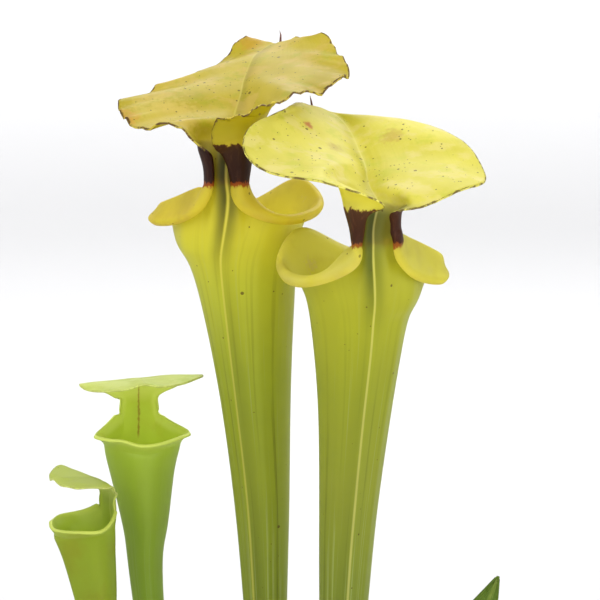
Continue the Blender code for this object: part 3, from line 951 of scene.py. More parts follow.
@dataclass
class Pitcher:
    """What tall and young pitchers share: a tube, a lip, a column and a lid in one sheet."""

    name: str
    node: str
    slot: str
    finish: PitcherFinish
    tube: tuple[tuple[float, ...], ...]
    mouth: Point
    hand: float = 1.0
    turn: float = 0.0
    share: float = 1.0
    keel: float = 1.3
    wing: float = 2.2
    bead: float = 0.0

    def placed(self, points: Line | list[Point], hand: float = 1.0) -> np.ndarray:
        """Points round the mouth, moved to the pitcher's own turn, size and place.

        Args:
            points: across, away and up from the middle of the mouth.
            hand: 1, or -1 to mirror them.

        Returns:
            The moved points.
        """
        c, s = math.cos(math.radians(self.turn)), math.sin(math.radians(self.turn))
        spin = np.array(((c, -s, 0.0), (s, c, 0.0), (0.0, 0.0, 1.0)))
        sized = np.asarray(points, float) * (hand, 1.0, 1.0) * self.share
        return sized @ spin.T + np.asarray(self.mouth, float)

    def add_ring(self, cage: LeafCage, row: tuple[float, ...],
                 angles: tuple[float, ...]) -> list[int]:
        """Add one ring of the tube, with the keel at the back and the wing in front.

        Args:
            cage: cage to add to.
            row: height, across, away, half width, half depth and turn.
            angles: angles of its points from the midrib, in degrees.

        Returns:
            The ring's points.
        """
        up, across, away, half_width, half_depth, twist = row
        size = min(1.0, max(0.0, (half_width - 4.0) / 6.0))
        ring = []
        for angle in angles:
            bump = {0: self.keel, 180: self.wing}.get(angle, 0.0) * size
            turn = math.radians(self.hand * angle + twist)
            ring.append(cage.add((across + (half_width + bump) * math.sin(turn),
                                  away - (half_depth + bump) * math.cos(turn), up),
                                 side=math.sin(math.radians(angle)),
                                 rib=half_width * math.radians(abs(angle)),
                                 climb=up - FOOT, margin=FAR_INSIDE))
        return ring

    def add_tube(self, cage: LeafCage, angles: tuple[float, ...]) -> list[int]:
        """Add the tube, open at its foot, and return the throat ring.

        Args:
            cage: cage to add to.
            angles: angles of a ring's points from the midrib.

        Returns:
            Points of the throat ring.
        """
        rings = [self.add_ring(cage, row, angles) for row in self.tube]
        for low, high in zip(rings, rings[1:]):
            cage.join(low, high, closed=True)
        return rings[-1]

    def add_lip(self, cage: LeafCage, throat: list[int], opened: list[np.ndarray],
                rolled: list[np.ndarray], front: np.ndarray) -> list[list[int]]:
        """Add both sides of the lip.

        Args:
            cage: cage to add to.
            throat: points of the throat ring.
            opened: stations of the open side, from the column to the front.
            rolled: stations of the rolled side.
            front: station at the front.

        Returns:
            The stations beside the column.
        """
        climb = self.tube[-1][0] - FOOT

        def station(points: np.ndarray, inner: int) -> list[int]:
            """Add one station and note how far its points lie from the tucked margin.

            Args:
                points: its points, from the throat to the margin.
                inner: number of the throat's point that it starts from.

            Returns:
                Numbers of its points.
            """
            run = lengths([cage.points[inner], *points])
            cage.values[inner]["margin"] = float(run[-1])
            return [inner] + [cage.add(p, margin=float(run[-1] - r), climb=climb, lip=i / 3.0,
                                       side=cage.values[inner]["side"],
                                       rib=cage.values[inner]["rib"])
                              for i, (p, r) in enumerate(zip(points, run[1:]))]

        middle = station(front, throat[len(throat) // 2])
        corners = []
        for stations, way in ((opened, -1), (rolled, 1)):
            bands = [station(points, throat[way * (i + 1)]) for i, points in enumerate(stations)]
            for first, second in zip(bands, bands[1:] + [middle]):
                cage.join(first, second)
            corners.append(bands[0])
        return corners

    def add_blade(self, cage: LeafCage, throat: list[int], corners: list[list[int]],
                  sections: list[np.ndarray], lid_start: int, tip: np.ndarray) -> None:
        """Add the column and the lid above the throat, up to the tip.

        Args:
            cage: cage to add to.
            throat: points of the throat ring.
            corners: the lip's stations beside the column.
            sections: sections across the column and the lid.
            lid_start: number of the last section of the column.
            tip: points of the drawn-out tip.
        """
        half = len(sections[0]) // 2
        climbs = lengths([section[half] for section in sections]) + self.tube[-1][0] - FOOT
        rows = []
        for number, (section, climb) in enumerate(zip(sections, climbs)):
            reach = lengths(list(section))
            past = number - lid_start
            lid = min(1.0, max(0.0, past / 1.6))
            neck = 1.0 if past <= 2 else max(0.0, 1.0 - (past - 2) / 2)
            rows.append([
                cage.add(point, step=(i - half) / half, side=(i - half) / half,
                         rib=float(abs(reach[i] - reach[half])), climb=float(climb),
                         margin=float(min(reach[i], reach[-1] - reach[i])), lid=lid,
                         neck=neck, row=float(max(0, past)))
                for i, point in enumerate(section)])
        cage.join([throat[-1], throat[0], throat[1]], rows[0][half - 1:half + 2])
        cage.join(corners[0], rows[0][half - 1::-1])
        cage.join(corners[1], rows[0][half + 1:])
        for low, high in zip(rows, rows[1:]):
            cage.join(low, high)
        last = float(len(sections) - lid_start)
        point = [rows[-1][half]] + [
            cage.add(p, climb=float(climbs[-1] + 3.0 * i), lid=1.0, row=last,
                     margin=float(8.0 - 8.0 * i / (len(tip) - 1)))
            for i, p in enumerate(tip)]
        cage.join(rows[-1][half - 1::-1], point)
        cage.join(rows[-1][half + 1:], point)

    def relief(self, values: dict[str, np.ndarray]) -> tuple[np.ndarray, np.ndarray]:
        """Moves of the fine sheet's points: along the normals and upwards, in millimetres."""
        raise NotImplementedError

    def finished(self, cage: LeafCage) -> bpy.types.Object:
        """Smooth, shape and thicken the cage, and dress the result.

        Args:
            cage: the whole leaf's cage.

        Returns:
            The dressed leaf.
        """
        sheet, values = cage.smoothed(self.name)
        count = len(sheet.vertices)
        spots, normals = np.empty(count * 3), np.empty(count * 3)
        sheet.vertices.foreach_get("co", spots)
        sheet.vertices.foreach_get("normal", normals)
        along, up = self.relief(values)
        spots = spots.reshape(-1, 3) + normals.reshape(-1, 3) * along[:, None] * MM
        spots[:, 2] += up * MM
        sheet.vertices.foreach_set("co", spots.ravel())
        sheet.update()
        with edited(sheet) as work:
            foot = [edge for edge in work.edges if edge.is_boundary
                    and max(vertex.co.z for vertex in edge.verts) < (FOOT + 1.0) * MM]
            closed = bmesh.ops.contextual_create(work, geom=foot)
            bmesh.ops.poke(work, faces=closed["faces"])
        swell = np.exp(-(values["margin"] / 1.1) ** 2) * np.clip(values["lip"] * 6.0, 0.0, 1.0)
        leaf = thickened(self.name, sheet, SHEET, self.finish.faces(), self.bead, swell)
        dress(leaf, self.node)
        return leaf


@dataclass
class TallPitcher(Pitcher):
    """Tall pitcher whose column is rolled back on one side and whose lid arches over it.

    Its tables are measured from the middle of the mouth. Each row of a lip runs from the
    throat to the tucked margin, each row of the column from the open side to the rolled
    one, and the midrib and margins run up the lid. A bend is the path of a half of the lid
    that is rolled. A ruffle is a row of crests: their place up the lid and their height. A
    rib of the tube is its angle from the midrib, its width and its height.
    """

    angles: tuple[float, ...] = (0, 17, 40, 68, 97, 126, 154, 180, -154, -126, -97, -68, -40, -17)
    steps: tuple[float, ...] = (0.14, 0.34, 0.56, 0.79, 1.0)
    lip_rolled: Rows = ()
    lip_open: Rows = ()
    lip_front: Line = ()
    column: Rows = ()
    midrib: Line = ()
    open_margin: Line = ()
    rolled_margin: Line = ()
    open_bends: Line = ()
    rolled_bends: Rows = ()
    tip: Line = ()
    camber: float = 2.5
    ruffle_open: Pairs = ((0, 0), (12, 0))
    ruffle_rolled: Pairs = ((0, 0), (12, 0))
    crisping: float = 0.0
    pucker: float = 0.3
    ribs: tuple[tuple[float, float, float], ...] = ()

    def relief(self, values: dict[str, np.ndarray]) -> tuple[np.ndarray, np.ndarray]:
        """Ruffled and crisped margin, puckered lid and soft ribs down the tube.

        Args:
            values: named values of the fine sheet.

        Returns:
            Moves along the normals and upwards, in millimetres.
        """
        step, row, lid = values["step"], values["row"], values["lid"]
        waves = np.where(step < 0, wavy(row, self.ruffle_open), wavy(row, self.ruffle_rolled))
        crisp = (np.sin(row * 9.7 + np.sign(step)) + 0.6 * np.sin(row * 16.3 + 1.1)) * self.crisping
        up = lid * (np.abs(step) ** 3 * waves + np.abs(step) ** 6 * crisp)
        puckers = (np.sin(step * 13.0 + row * 0.4) * np.sin(row * 1.9 + 0.8)
                   + 0.5 * np.sin(step * 23.0 - row * 0.7) * np.sin(row * 3.1))
        along = lid * self.pucker * puckers * (0.3 + 0.7 * np.abs(step))
        tube = (1.0 - lid) * np.clip((values["margin"] - 12.0) / 20.0, 0.0, 1.0)
        angle = np.degrees(np.arctan2(values["side"], np.sqrt(
            np.clip(1.0 - values["side"] ** 2, 0.0, 1.0))))
        for at, width, height in self.ribs:
            near = np.exp(-((angle - at) / width) ** 2)
            along = along + np.where(values["rib"] > 0.0, tube * near * height, 0.0)
        return along, up

    def build(self) -> bpy.types.Object:
        """Build the whole leaf.

        Returns:
            The dressed leaf.
        """
        cage = LeafCage()
        throat = self.add_tube(cage, self.angles)
        corners = self.add_lip(cage, throat,
                               [self.placed(points, self.hand) for points in self.lip_open],
                               [self.placed(points, self.hand) for points in self.lip_rolled],
                               self.placed(self.lip_front, self.hand))
        sections = [self.placed(row, self.hand) for row in self.column]
        for i, middle in enumerate(self.midrib):
            bends = (self.open_bends if i == 0 else (),
                     self.rolled_bends[i] if i < len(self.rolled_bends) else ())
            fading = min(1.0, (len(self.midrib) - i) / 4.0)
            sections.append(self.placed(lid_section(
                middle, (self.open_margin[i], self.rolled_margin[i]), bends, self.steps,
                self.camber * fading)))
        self.add_blade(cage, throat, corners, sections, len(self.column) - 1,
                       self.placed(self.tip))
        return self.finished(cage)


@dataclass
class YoungPitcher(Pitcher):
    """Young pitcher, built about its own axes and then turned, sized and moved."""

    angles: tuple[float, ...] = (0, 30, 88, 135, 180, -135, -88, -30)
    steps: tuple[float, ...] = (0.22, 0.6, 1.0)
    tilt: float = 0.0
    lip: Rows = (
        ((9, -13.5, -3), (11, -13.5, 2.5)),
        ((17.5, 0, -4.5), (21.5, 0, -1.4)),
        ((12.5, 11, -5), (15, 12, -2)),
    )
    front: Line = ((0, 16.5, -7.5), (0, 19, -5))
    column: Rows = (
        ((-9, -14.5, 6), (-7.5, -16, 4), (-4.5, -16.5, 3), (0, -17, 3),
         (4.5, -16.5, 3), (7.5, -16, 4), (9, -14.5, 6)),
        ((-8.5, -14.5, 11), (-7, -16, 10), (-4, -16.5, 9), (0, -17, 9),
         (4, -16.5, 9), (7, -16, 10), (8.5, -14.5, 11)),
    )
    midrib: Line = ((0, -16, 14), (0, -13, 19.5), (0, -7, 22.5), (0, 1, 23.5), (0, 9, 23.3))
    lid_margin: Line = ((11, -15, 14.5), (17, -11, 18.5), (25, -5, 23.0), (28, 2, 25.0),
                        (19, 11, 23.5))
    tip: Line = ((0, 14, 23), (0, 18, 22.5))

    def relief(self, values: dict[str, np.ndarray]) -> tuple[np.ndarray, np.ndarray]:
        """Light waves of the lid's margin and of the lip, and a raised front of the lid.

        Args:
            values: named values of the fine sheet.

        Returns:
            Moves along the normals and upwards, in millimetres.
        """
        step, row, lid, side = (values[label] for label in ("step", "row", "lid", "side"))
        up = lid * np.abs(step) ** 3 * 0.45 * np.sin(row * 3.4 + 2.0 * np.sign(step))
        wave = 2.0 * np.exp(-(side / 0.5) ** 2) + 1.3 * np.exp(-((side - 0.45) / 0.22) ** 2)
        up = up + np.clip(values["lip"] * 3.0, 0.0, 1.0) * wave
        front = np.clip((row - 4.0) / 2.5, 0.0, 1.0) * np.exp(-(step / 0.6) ** 2)
        up = up + lid * front * (2.3 + 0.9 * np.sin(step * 8.0 + 1.0))
        return lid * 0.15 * np.sin(step * 9.0) * np.sin(row * 2.1), up

    def build(self) -> bpy.types.Object:
        """Build the whole leaf.

        Returns:
            The dressed leaf.
        """
        cage = LeafCage()
        throat = self.add_tube(cage, self.angles)
        opened, rolled = ([self.placed(points, way) for points in self.lip] for way in (-1, 1))
        corners = self.add_lip(cage, throat, opened, rolled, self.placed(self.front))
        sections = [self.placed(row) for row in self.column]
        widest = max(across for across, _, _ in self.lid_margin)
        for middle, (across, away, up) in zip(self.midrib, self.lid_margin):
            margins = tuple((way * across, away, up + self.tilt * (way * across + widest))
                            for way in (-1, 1))
            sections.append(self.placed(lid_section(middle, margins, ((), ()), self.steps, 0.5)))
        self.add_blade(cage, throat, corners, sections, len(self.column) - 1,
                       self.placed(self.tip))
        return self.finished(cage)


@dataclass
class LidTip:
    """Withered tip of a lid, drawn out to a thin curved thorn; points in millimetres."""

    name: str
    node: str
    slot: str
    line: Line
    radius: float = 0.7
    sides: int = 10
    shade: Shade = (112, 62, 48)
    dark: Shade = (78, 50, 40)

    def build(self) -> bpy.types.Object:
        """Build the thorn as a tapered tube with a pointed end.

        Returns:
            The dressed thorn.
        """
        mesh = bpy.data.meshes.new(self.name)
        turns = [math.tau * k / self.sides for k in range(self.sides)]
        with edited(mesh) as work:
            rings = []
            for i, (x, y, z) in enumerate(self.line[:-1]):
                reach = self.radius * (1.0 - 0.7 * i / (len(self.line) - 1))
                rings.append([work.verts.new(((x + reach * math.cos(turn)) * MM,
                                              (y + reach * math.sin(turn)) * MM, z * MM))
                              for turn in turns])
            point = work.verts.new(tuple(c * MM for c in self.line[-1]))
            for k in range(self.sides):
                for low, high in zip(rings, rings[1:]):
                    work.faces.new((low[k - 1], low[k], high[k], high[k - 1]))
                work.faces.new((rings[-1][k - 1], rings[-1][k], point))
            work.faces.new(rings[0][::-1])
        bench = Bench(f"{self.name} brown")
        grain = bench.noise(bench.place(), 900.0)
        finish = bench.finish(bench.over(self.shade, grain, self.dark), 0.6, grain, 0.0001, 0.3)
        thorn = link_object(self.name, mesh, (finish,))
        dress(thorn, self.node)
        return thorn


@dataclass
class SwordLeaf:
    """Tapering blade folded a little along its midrib, with fine lengthwise veins.

    Its rows hold height, across, away and half width, in millimetres.
    """

    name: str = "sword_leaf"
    node: str = "leaf_flat"
    slot: str = "flat_leaf"
    fold: float = 0.28
    lean: float = 0.45
    sheet: float = 1.1
    steps: tuple[float, ...] = (-1.0, -0.5, 0.0, 0.5, 1.0)
    rows: tuple[tuple[float, float, float, float], ...] = (
        (FOOT + 1.8, 30.0, 3.0, 2.8), (135, 32.5, 3.5, 4.5), (170, 38.0, 4.5, 7.4),
        (205, 46.5, 5.5, 9.4), (240, 59.5, 7.0, 10.2), (266, 73.0, 8.5, 9.4),
        (287, 86.0, 9.5, 6.6), (304, 93.5, 10.5, 0.8))

    def build(self) -> bpy.types.Object:
        """Build the leaf and dress it.

        Returns:
            The dressed leaf.
        """
        cage = LeafCage()
        rows = [[cage.add((across + half * step, away + half * self.fold * abs(step),
                           up - self.lean * half * step * min(1.0, (up - FOOT) / 120.0)),
                          step=step, climb=up - FOOT, rib=half * abs(step))
                 for step in self.steps]
                for up, across, away, half in self.rows]
        for low, high in zip(rows, rows[1:]):
            cage.join(low, high)
        sheet, values = cage.smoothed(self.name)
        veins = 0.08 * np.cos(values["step"] * 31.0) - 0.25 * np.exp(-(values["rib"] / 0.8) ** 2)
        for vertex, lift in zip(sheet.vertices, veins):
            vertex.co += vertex.normal * float(lift) * MM
        leaf = thickened(self.name, sheet, self.sheet, BladeFinish().faces())
        dress(leaf, self.node)
        return leaf


# ---------------------------------------------------------------- pot and soil


@dataclass
class GrowersPot:
    """Plain tapering pot with a collar and round holes in its floor, in millimetres."""

    name: str = "growers_pot"
    node: str = "pot"
    slot: str = "pot"
    height: float = 130.0
    top_radius: float = 76.0
    foot_radius: float = 56.0
    wall: float = 2.4
    floor: float = 3.0
    collar: float = 16.0
    collar_reach: float = 3.0
    drain_holes: int = 6
    drain_ring: float = 34.0
    drain_radius: float = 5.0
    sides: int = 144
    sharp: float = 38.0

    def radius(self, height: float) -> float:
        """Outer radius of the wall at a height."""
        return self.foot_radius + (self.top_radius - self.foot_radius) * height / self.height

    def profile(self) -> list[tuple[float, float]]:
        """Closed outline of the wall, from the middle of the floor outwards.

        Returns:
            Its radii and heights.
        """
        low = self.height - self.collar
        outer, top = self.radius(low), self.top_radius + self.collar_reach
        inside = self.top_radius - self.wall
        foot = self.radius(self.floor) - self.wall
        return [
            (0.0, 0.6), (self.foot_radius - 9.0, 0.6), (self.foot_radius - 8.0, 0.0),
            (self.foot_radius - 2.0, 0.0), (self.foot_radius - 0.6, 0.5),
            (self.foot_radius, 1.6), (self.radius(30.0), 30.0), (self.radius(70.0), 70.0),
            (outer - 0.3, low - 1.2), (outer + 0.5, low - 0.2),
            (outer + self.collar_reach - 1.0, low + 0.2),
            (outer + self.collar_reach, low + 1.2), (top - 0.3, self.height - 2.4),
            (top, self.height - 1.3), (top - 0.4, self.height - 0.4),
            (top - 1.4, self.height), (inside + 1.2, self.height),
            (inside + 0.3, self.height - 0.4), (inside, self.height - 1.4),
            (foot, self.floor + 2.0), (foot - 2.0, self.floor), (0.0, self.floor),
        ]

    def drains(self) -> bpy.types.Object:
        """Upright cylinders where the drain holes go.

        Returns:
            The cutter.
        """
        cutters = bpy.data.meshes.new("drains")
        with edited(cutters) as work:
            for i in range(self.drain_holes):
                turn = math.tau * i / self.drain_holes
                made = bmesh.ops.create_cone(
                    work, cap_ends=True, segments=28, radius1=self.drain_radius * MM,
                    radius2=self.drain_radius * MM, depth=0.02)
                bmesh.ops.translate(work, verts=made["verts"],
                                    vec=(self.drain_ring * math.cos(turn) * MM,
                                         self.drain_ring * math.sin(turn) * MM, 0.0))
        return link_object("drain cutters", cutters)

    def build(self) -> bpy.types.Object:
        """Turn the outline about the upright, cut the holes and dress the pot.

        Returns:
            The dressed pot.
        """
        body = lathed("pot", [(radius * MM, up * MM) for radius, up in self.profile()],
                      self.sides, PotFinish().build())
        with edited(body) as work:
            bmesh.ops.remove_doubles(work, verts=work.verts, dist=MERGE)
            bmesh.ops.recalc_face_normals(work, faces=work.faces)
        guide, cutter = link_object("pot body", body), self.drains()
        cut = guide.modifiers.new("Drains", "BOOLEAN")
        cut.operation = "DIFFERENCE"
        cut.object = cutter
        pot = link_object(self.name, applied(guide))
        bpy.data.objects.remove(cutter)
        dress(pot, self.node)
        pot.data.set_sharp_from_angle(angle=math.radians(self.sharp))
        return pot


class Crumb(Enum):
    """What lies on the soil: its shades, count in a square metre, sizes in mm, flatness."""

    PEAT = ("peat crumb", (52, 38, 28), (92, 70, 50), 52000.0, 1.0, 3.0, 0.7)
    GRIT = ("pale grit", (198, 194, 184), (236, 233, 226), 9000.0, 1.2, 2.9, 0.8)
    BARK = ("bark chip", (70, 44, 28), (120, 82, 50), 7000.0, 2.2, 5.2, 0.35)
    MOSS = ("moss tuft", (70, 92, 30), (128, 142, 58), 15000.0, 1.0, 2.4, 1.0)


@dataclass
class ScatterTree:
    """Geometry nodes that strew one kind of crumb over the top of the soil, in metres."""

    kind: Crumb
    seed: int
    above: float = 0.1105

    def build(self, finish: bpy.types.Material) -> tuple[bpy.types.NodeTree, dict[str, float]]:
        """Make the tree.

        Args:
            finish: material of the crumbs.

        Returns:
            The tree, and the values of its inputs by socket identifier.
        """
        label, _, _, density, least, most, flat = self.kind.value
        tree = bpy.data.node_groups.new(f"Strew {label}", "GeometryNodeTree")
        for way in ("INPUT", "OUTPUT"):
            tree.interface.new_socket(name="Geometry", in_out=way,
                                      socket_type="NodeSocketGeometry")
        values = {}
        for name, value in (("Count in a square metre", density), ("Least size", least * MM),
                            ("Most size", most * MM), ("Flatness", flat)):
            made = tree.interface.new_socket(name=name, in_out="INPUT",
                                             socket_type="NodeSocketFloat")
            values[made.identifier] = value

        def add(kind: str, inputs: Inputs | None = None,
                **options: object) -> bpy.types.NodeOutputs:
            """Add a node, as grown does, and return its outputs."""
            return grown(tree, kind, inputs, **options).outputs

        given = add("NodeGroupInput")
        up = add("ShaderNodeSeparateXYZ", {0: add("GeometryNodeInputPosition")[0]})["Z"]
        top = add("FunctionNodeCompare", {0: up, 1: self.above}, data_type="FLOAT",
                  operation="GREATER_THAN")[0]
        spots = add("GeometryNodeDistributePointsOnFaces", {
            "Mesh": given["Geometry"], "Selection": top, "Seed": self.seed,
            "Density": given["Count in a square metre"]})["Points"]
        size = add("FunctionNodeRandomValue", {
            2: given["Least size"], 3: given["Most size"], "Seed": self.seed + 1},
            data_type="FLOAT")[1]
        spin = add("FunctionNodeRandomValue", {
            0: (-0.5, -0.5, 0.0), 1: (0.5, 0.5, math.tau), "Seed": self.seed + 2},
            data_type="FLOAT_VECTOR")[0]
        ball = add("GeometryNodeMeshIcoSphere", {"Radius": 0.5, "Subdivisions": 2})["Mesh"]
        lumps = add("ShaderNodeTexNoise", {"Scale": 2.1})["Color"]
        shift = add("ShaderNodeVectorMath", {0: lumps, 1: (0.5, 0.5, 0.5)},
                    operation="SUBTRACT")[0]
        lumpy = add("GeometryNodeSetPosition", {"Geometry": ball, "Offset": shift})[0]
        squash = add("ShaderNodeCombineXYZ", {0: 1.0, 1: 1.0, 2: given["Flatness"]})[0]
        crumb = add("GeometryNodeTransform", {"Geometry": lumpy, "Scale": squash})[0]
        strewn = add("GeometryNodeInstanceOnPoints", {
            "Points": spots, "Instance": crumb, "Rotation": spin, "Scale": size})[0]
        real = add("GeometryNodeRealizeInstances", {0: strewn})[0]
        painted = add("GeometryNodeSetMaterial", {"Geometry": real, "Material": finish})[0]
        add("NodeGroupOutput", {"Geometry": painted})
        return tree, values


@dataclass
class PottingSoil:
    """Filling of the pot with an uneven top, strewn with crumbs, in millimetres."""

    name: str = "peat"
    node: str = "soil"
    slot: str = "soil"
    bottom: float = 3.3
    bottom_radius: float = 53.4
    top: float = 113.0
    top_radius: float = 70.6
    crown: float = 2.2
    rings: int = 34
    around: int = 150

    def surface(self, across: float, away: float) -> float:
        """Height of the soil's top at a place, in millimetres.

        Args:
            across: the place's distance to the right.
            away: its distance to the back.

        Returns:
            The height.
        """
        share = math.hypot(across, away) / self.top_radius
        rough = sum(height * noise.noise(Vector((across * scale, away * scale, slice_at)))
                    for height, scale, slice_at in ((1.3, 0.06, 3.1), (0.7, 0.21, 7.7),
                                                    (0.35, 0.6, 1.9)))
        return self.top + self.crown * (1.0 - share ** 2) + rough * min(1.0, 6.0 * (1.0 - share))

    def circle(self, radius: float, number: int) -> list[tuple[float, float]]:
        """Points of a ring; every other ring is turned by half a step."""
        turns = [math.tau * (i + 0.5 * (number % 2)) / self.around for i in range(self.around)]
        return [(radius * math.cos(turn), radius * math.sin(turn)) for turn in turns]

    def mesh(self) -> bpy.types.Mesh:
        """Closed body: uneven top, slanted side and flat bottom.

        Returns:
            The mesh, in metres.
        """
        points: list[Point] = [(0.0, 0.0, self.surface(0.0, 0.0))]
        for ring in range(1, self.rings + 1):
            points += [(x, y, self.surface(x, y))
                       for x, y in self.circle(self.top_radius * ring / self.rings, ring)]
        first = len(points)
        points += [(x, y, self.bottom) for x, y in self.circle(self.bottom_radius, self.rings)]
        points.append((0.0, 0.0, self.bottom))
        faces: list[tuple[int, ...]] = []
        for i in range(self.around):
            j = (i + 1) % self.around
            faces.append((0, 1 + i, 1 + j))
            faces.append((first + j, first + i, len(points) - 1))
            for ring in range(self.rings):
                low, high = 1 + ring * self.around, 1 + (ring + 1) * self.around
                faces.append((low + i, high + i, high + j, low + j))
        made = bpy.data.meshes.new(self.name)
        made.from_pydata([tuple(v * MM for v in p) for p in points], [], faces)
        return made

    def build(self) -> list[bpy.types.Object]:
        """Build the soil and what lies on it.

        Returns:
            The dressed pieces.
        """
        earth = EarthFinish("Peat", (40, 30, 22), (78, 60, 44))
        pieces = [link_object(self.name, self.mesh(), (earth.build(),))]
        for seed, kind in enumerate(Crumb, start=11):
            label, dark, light, *_ = kind.value
            finish = EarthFinish(label.capitalize(), dark, light, 700.0, 0.0003).build()
            tree, values = ScatterTree(kind, seed).build(finish)
            guide = link_object(f"{label} guide", pieces[0].data.copy())
            strew = guide.modifiers.new("Strew", "NODES")
            strew.node_group = tree
            for identifier, value in values.items():
                strew[identifier] = value
            pieces.append(link_object(label.replace(" ", "_"), applied(guide)))
        for piece in pieces:
            dress(piece, self.node)
        return pieces


# ---------------------------------------------------------------- studio


@dataclass
class Studio:
    """Pale round cyclorama with soft lamps and the camera, in metres."""

    eye: Point = (0.004375, -0.96905, 0.60487)
    target: Point = (0.004375, 0.0, 0.434)
    lens: float = 134.95
    flat_radius: float = 3.2
    sweep: float = 1.6
    wall: float = 3.4
    sides: int = 96
    sky: float = 1.06

    def paper(self) -> bpy.types.Material:
        """Paper with painted shade, darker near the middle where the lamps fall and lighter with
        distance and height, and a painted glow up the wall.

        Returns:
            The material.
        """
        bench = Bench("Studio paper")
        away = bench.add("ShaderNodeVectorMath", {0: bench.place()}, "Value", operation="LENGTH")
        # Painted shade: darker paper near the middle, where the lamps light the floor most, lighter
        # far out and up the wall.
        shade = bench.over((188, 188, 189), away.band(0.6, 2.9), (215, 215, 216))
        shade = bench.over(shade, bench.height().band(-0.2, 0.6), (240, 240, 241))
        # Painted glow: the wall gives off white light of its own, though it is no lamp.
        glow = bench.height().band(-0.3, 0.6) * 0.24
        return bench.finish(shade, 0.9, bench.noise(bench.place(), 3.0, 2.0), 0.00001, 0.1,
                            glow=glow)

    def sweep_floor(self) -> bpy.types.Object:
        """Floor that curves up into a wall all round.

        Returns:
            The floor.
        """
        profile = [(0.0, 0.0), (0.6, 0.0), (self.flat_radius, 0.0)]
        for turn in (math.pi / 2.0 * i / 12 for i in range(1, 13)):
            profile.append((self.flat_radius + self.sweep * math.sin(turn),
                            self.sweep * (1.0 - math.cos(turn))))
        profile.append((self.flat_radius + self.sweep, self.wall))
        floor = link_object("studio_floor", lathed("studio", profile, self.sides, self.paper()))
        floor.data.flip_normals()
        floor.data.shade_smooth()
        return floor

    def aimed(self, name: str, data: bpy.types.ID, at: Point) -> bpy.types.Object:
        """Lamp or camera at a place, aimed at the plant.

        Args:
            name: its name.
            data: the lamp or camera.
            at: its place.

        Returns:
            The linked object.
        """
        made = bpy.data.objects.new(name, data)
        bpy.context.scene.collection.objects.link(made)
        made.location = at
        made.rotation_euler = (Vector(self.target) - Vector(at)).to_track_quat("-Z", "Y").to_euler()
        return made

    def build(self) -> None:
        """Make the floor, the lamps, the sky light and the camera."""
        scene = bpy.context.scene
        self.sweep_floor()
        for name, at, size, power, tint in (
                ("Key", (-1.1, -1.5, 1.7), 1.4, 14.0, (1.0, 0.99, 0.97)),
                ("Fill", (1.5, -1.2, 0.8), 1.4, 14.0, (0.98, 0.99, 1.0)),
                ("Back", (0.3, 1.6, 1.9), 1.6, 26.0, (1.0, 1.0, 1.0))):
            lamp = bpy.data.lights.new(name, "AREA")
            lamp.shape, lamp.size, lamp.energy, lamp.color = "SQUARE", size, power, tint
            self.aimed(name, lamp, at)
        scene.world = bpy.data.worlds.new("Soft white")
        scene.world.use_nodes = True
        light = scene.world.node_tree.nodes["Background"].inputs
        light["Color"].default_value = (1.0, 1.0, 1.0, 1.0)
        light["Strength"].default_value = self.sky
        scene.view_settings.view_transform = "Standard"
        scene.view_settings.look = "None"
        view = bpy.data.cameras.new("Camera")
        view.lens, view.sensor_width, view.clip_end = self.lens, 36.0, 30.0
        scene.camera = self.aimed("Camera", view, self.eye)


# ---------------------------------------------------------------- the plant


OCHRE = PitcherFinish(
    name="Ochre pitcher",
    heights=((0.105, (150, 92, 62)), (0.16, (128, 124, 56)), (0.24, (116, 134, 42)),
             (0.31, (140, 158, 52)), (0.35, (156, 172, 54)), (0.40, (166, 182, 54)),
             (0.44, (192, 202, 60)), (0.47, (214, 210, 62)), (0.50, (190, 180, 60))),
    lid=(212, 194, 66), lid_dark=(192, 174, 48), lid_green=(180, 180, 40),
    lid_pale=(222, 194, 104), keel=(222, 214, 110), groove_shade_and_streaks=(62, 66, 22),
    groove_shade_reach=(0.43, 0.482), groove_shade_sides=(0.8, 0.95), groove_shade_floor=0.32,
    lip=(240, 226, 84), bowl=(244, 226, 84), shaded_underside=(170, 158, 18),
    flank=(58, 30, 26), flank_vein=(78, 42, 32), flank_edge=(176, 84, 34),
    flank_reach=(0.4875, 0.5030), margin=(96, 70, 36), margin_width=0.8, speck_share=0.7,
    # The first mark is a painted highlight: a pale patch that lightens the left end of the lid,
    # standing in for light falling there.
    marks=(Mark(Face.OUTER, (-0.056, 0.006, 0.512), 0.021, (236, 214, 110), 0.5),
           Mark(Face.INNER, (0.010, 0.036, 0.472), 0.0065, (236, 212, 156), 0.75),
           Mark(Face.OUTER, (-0.018, 0.074, 0.542), 0.008, (216, 150, 62), 0.45),
           Mark(Face.OUTER, (-0.073, 0.004, 0.513), 0.009, (218, 152, 64), 0.55)))

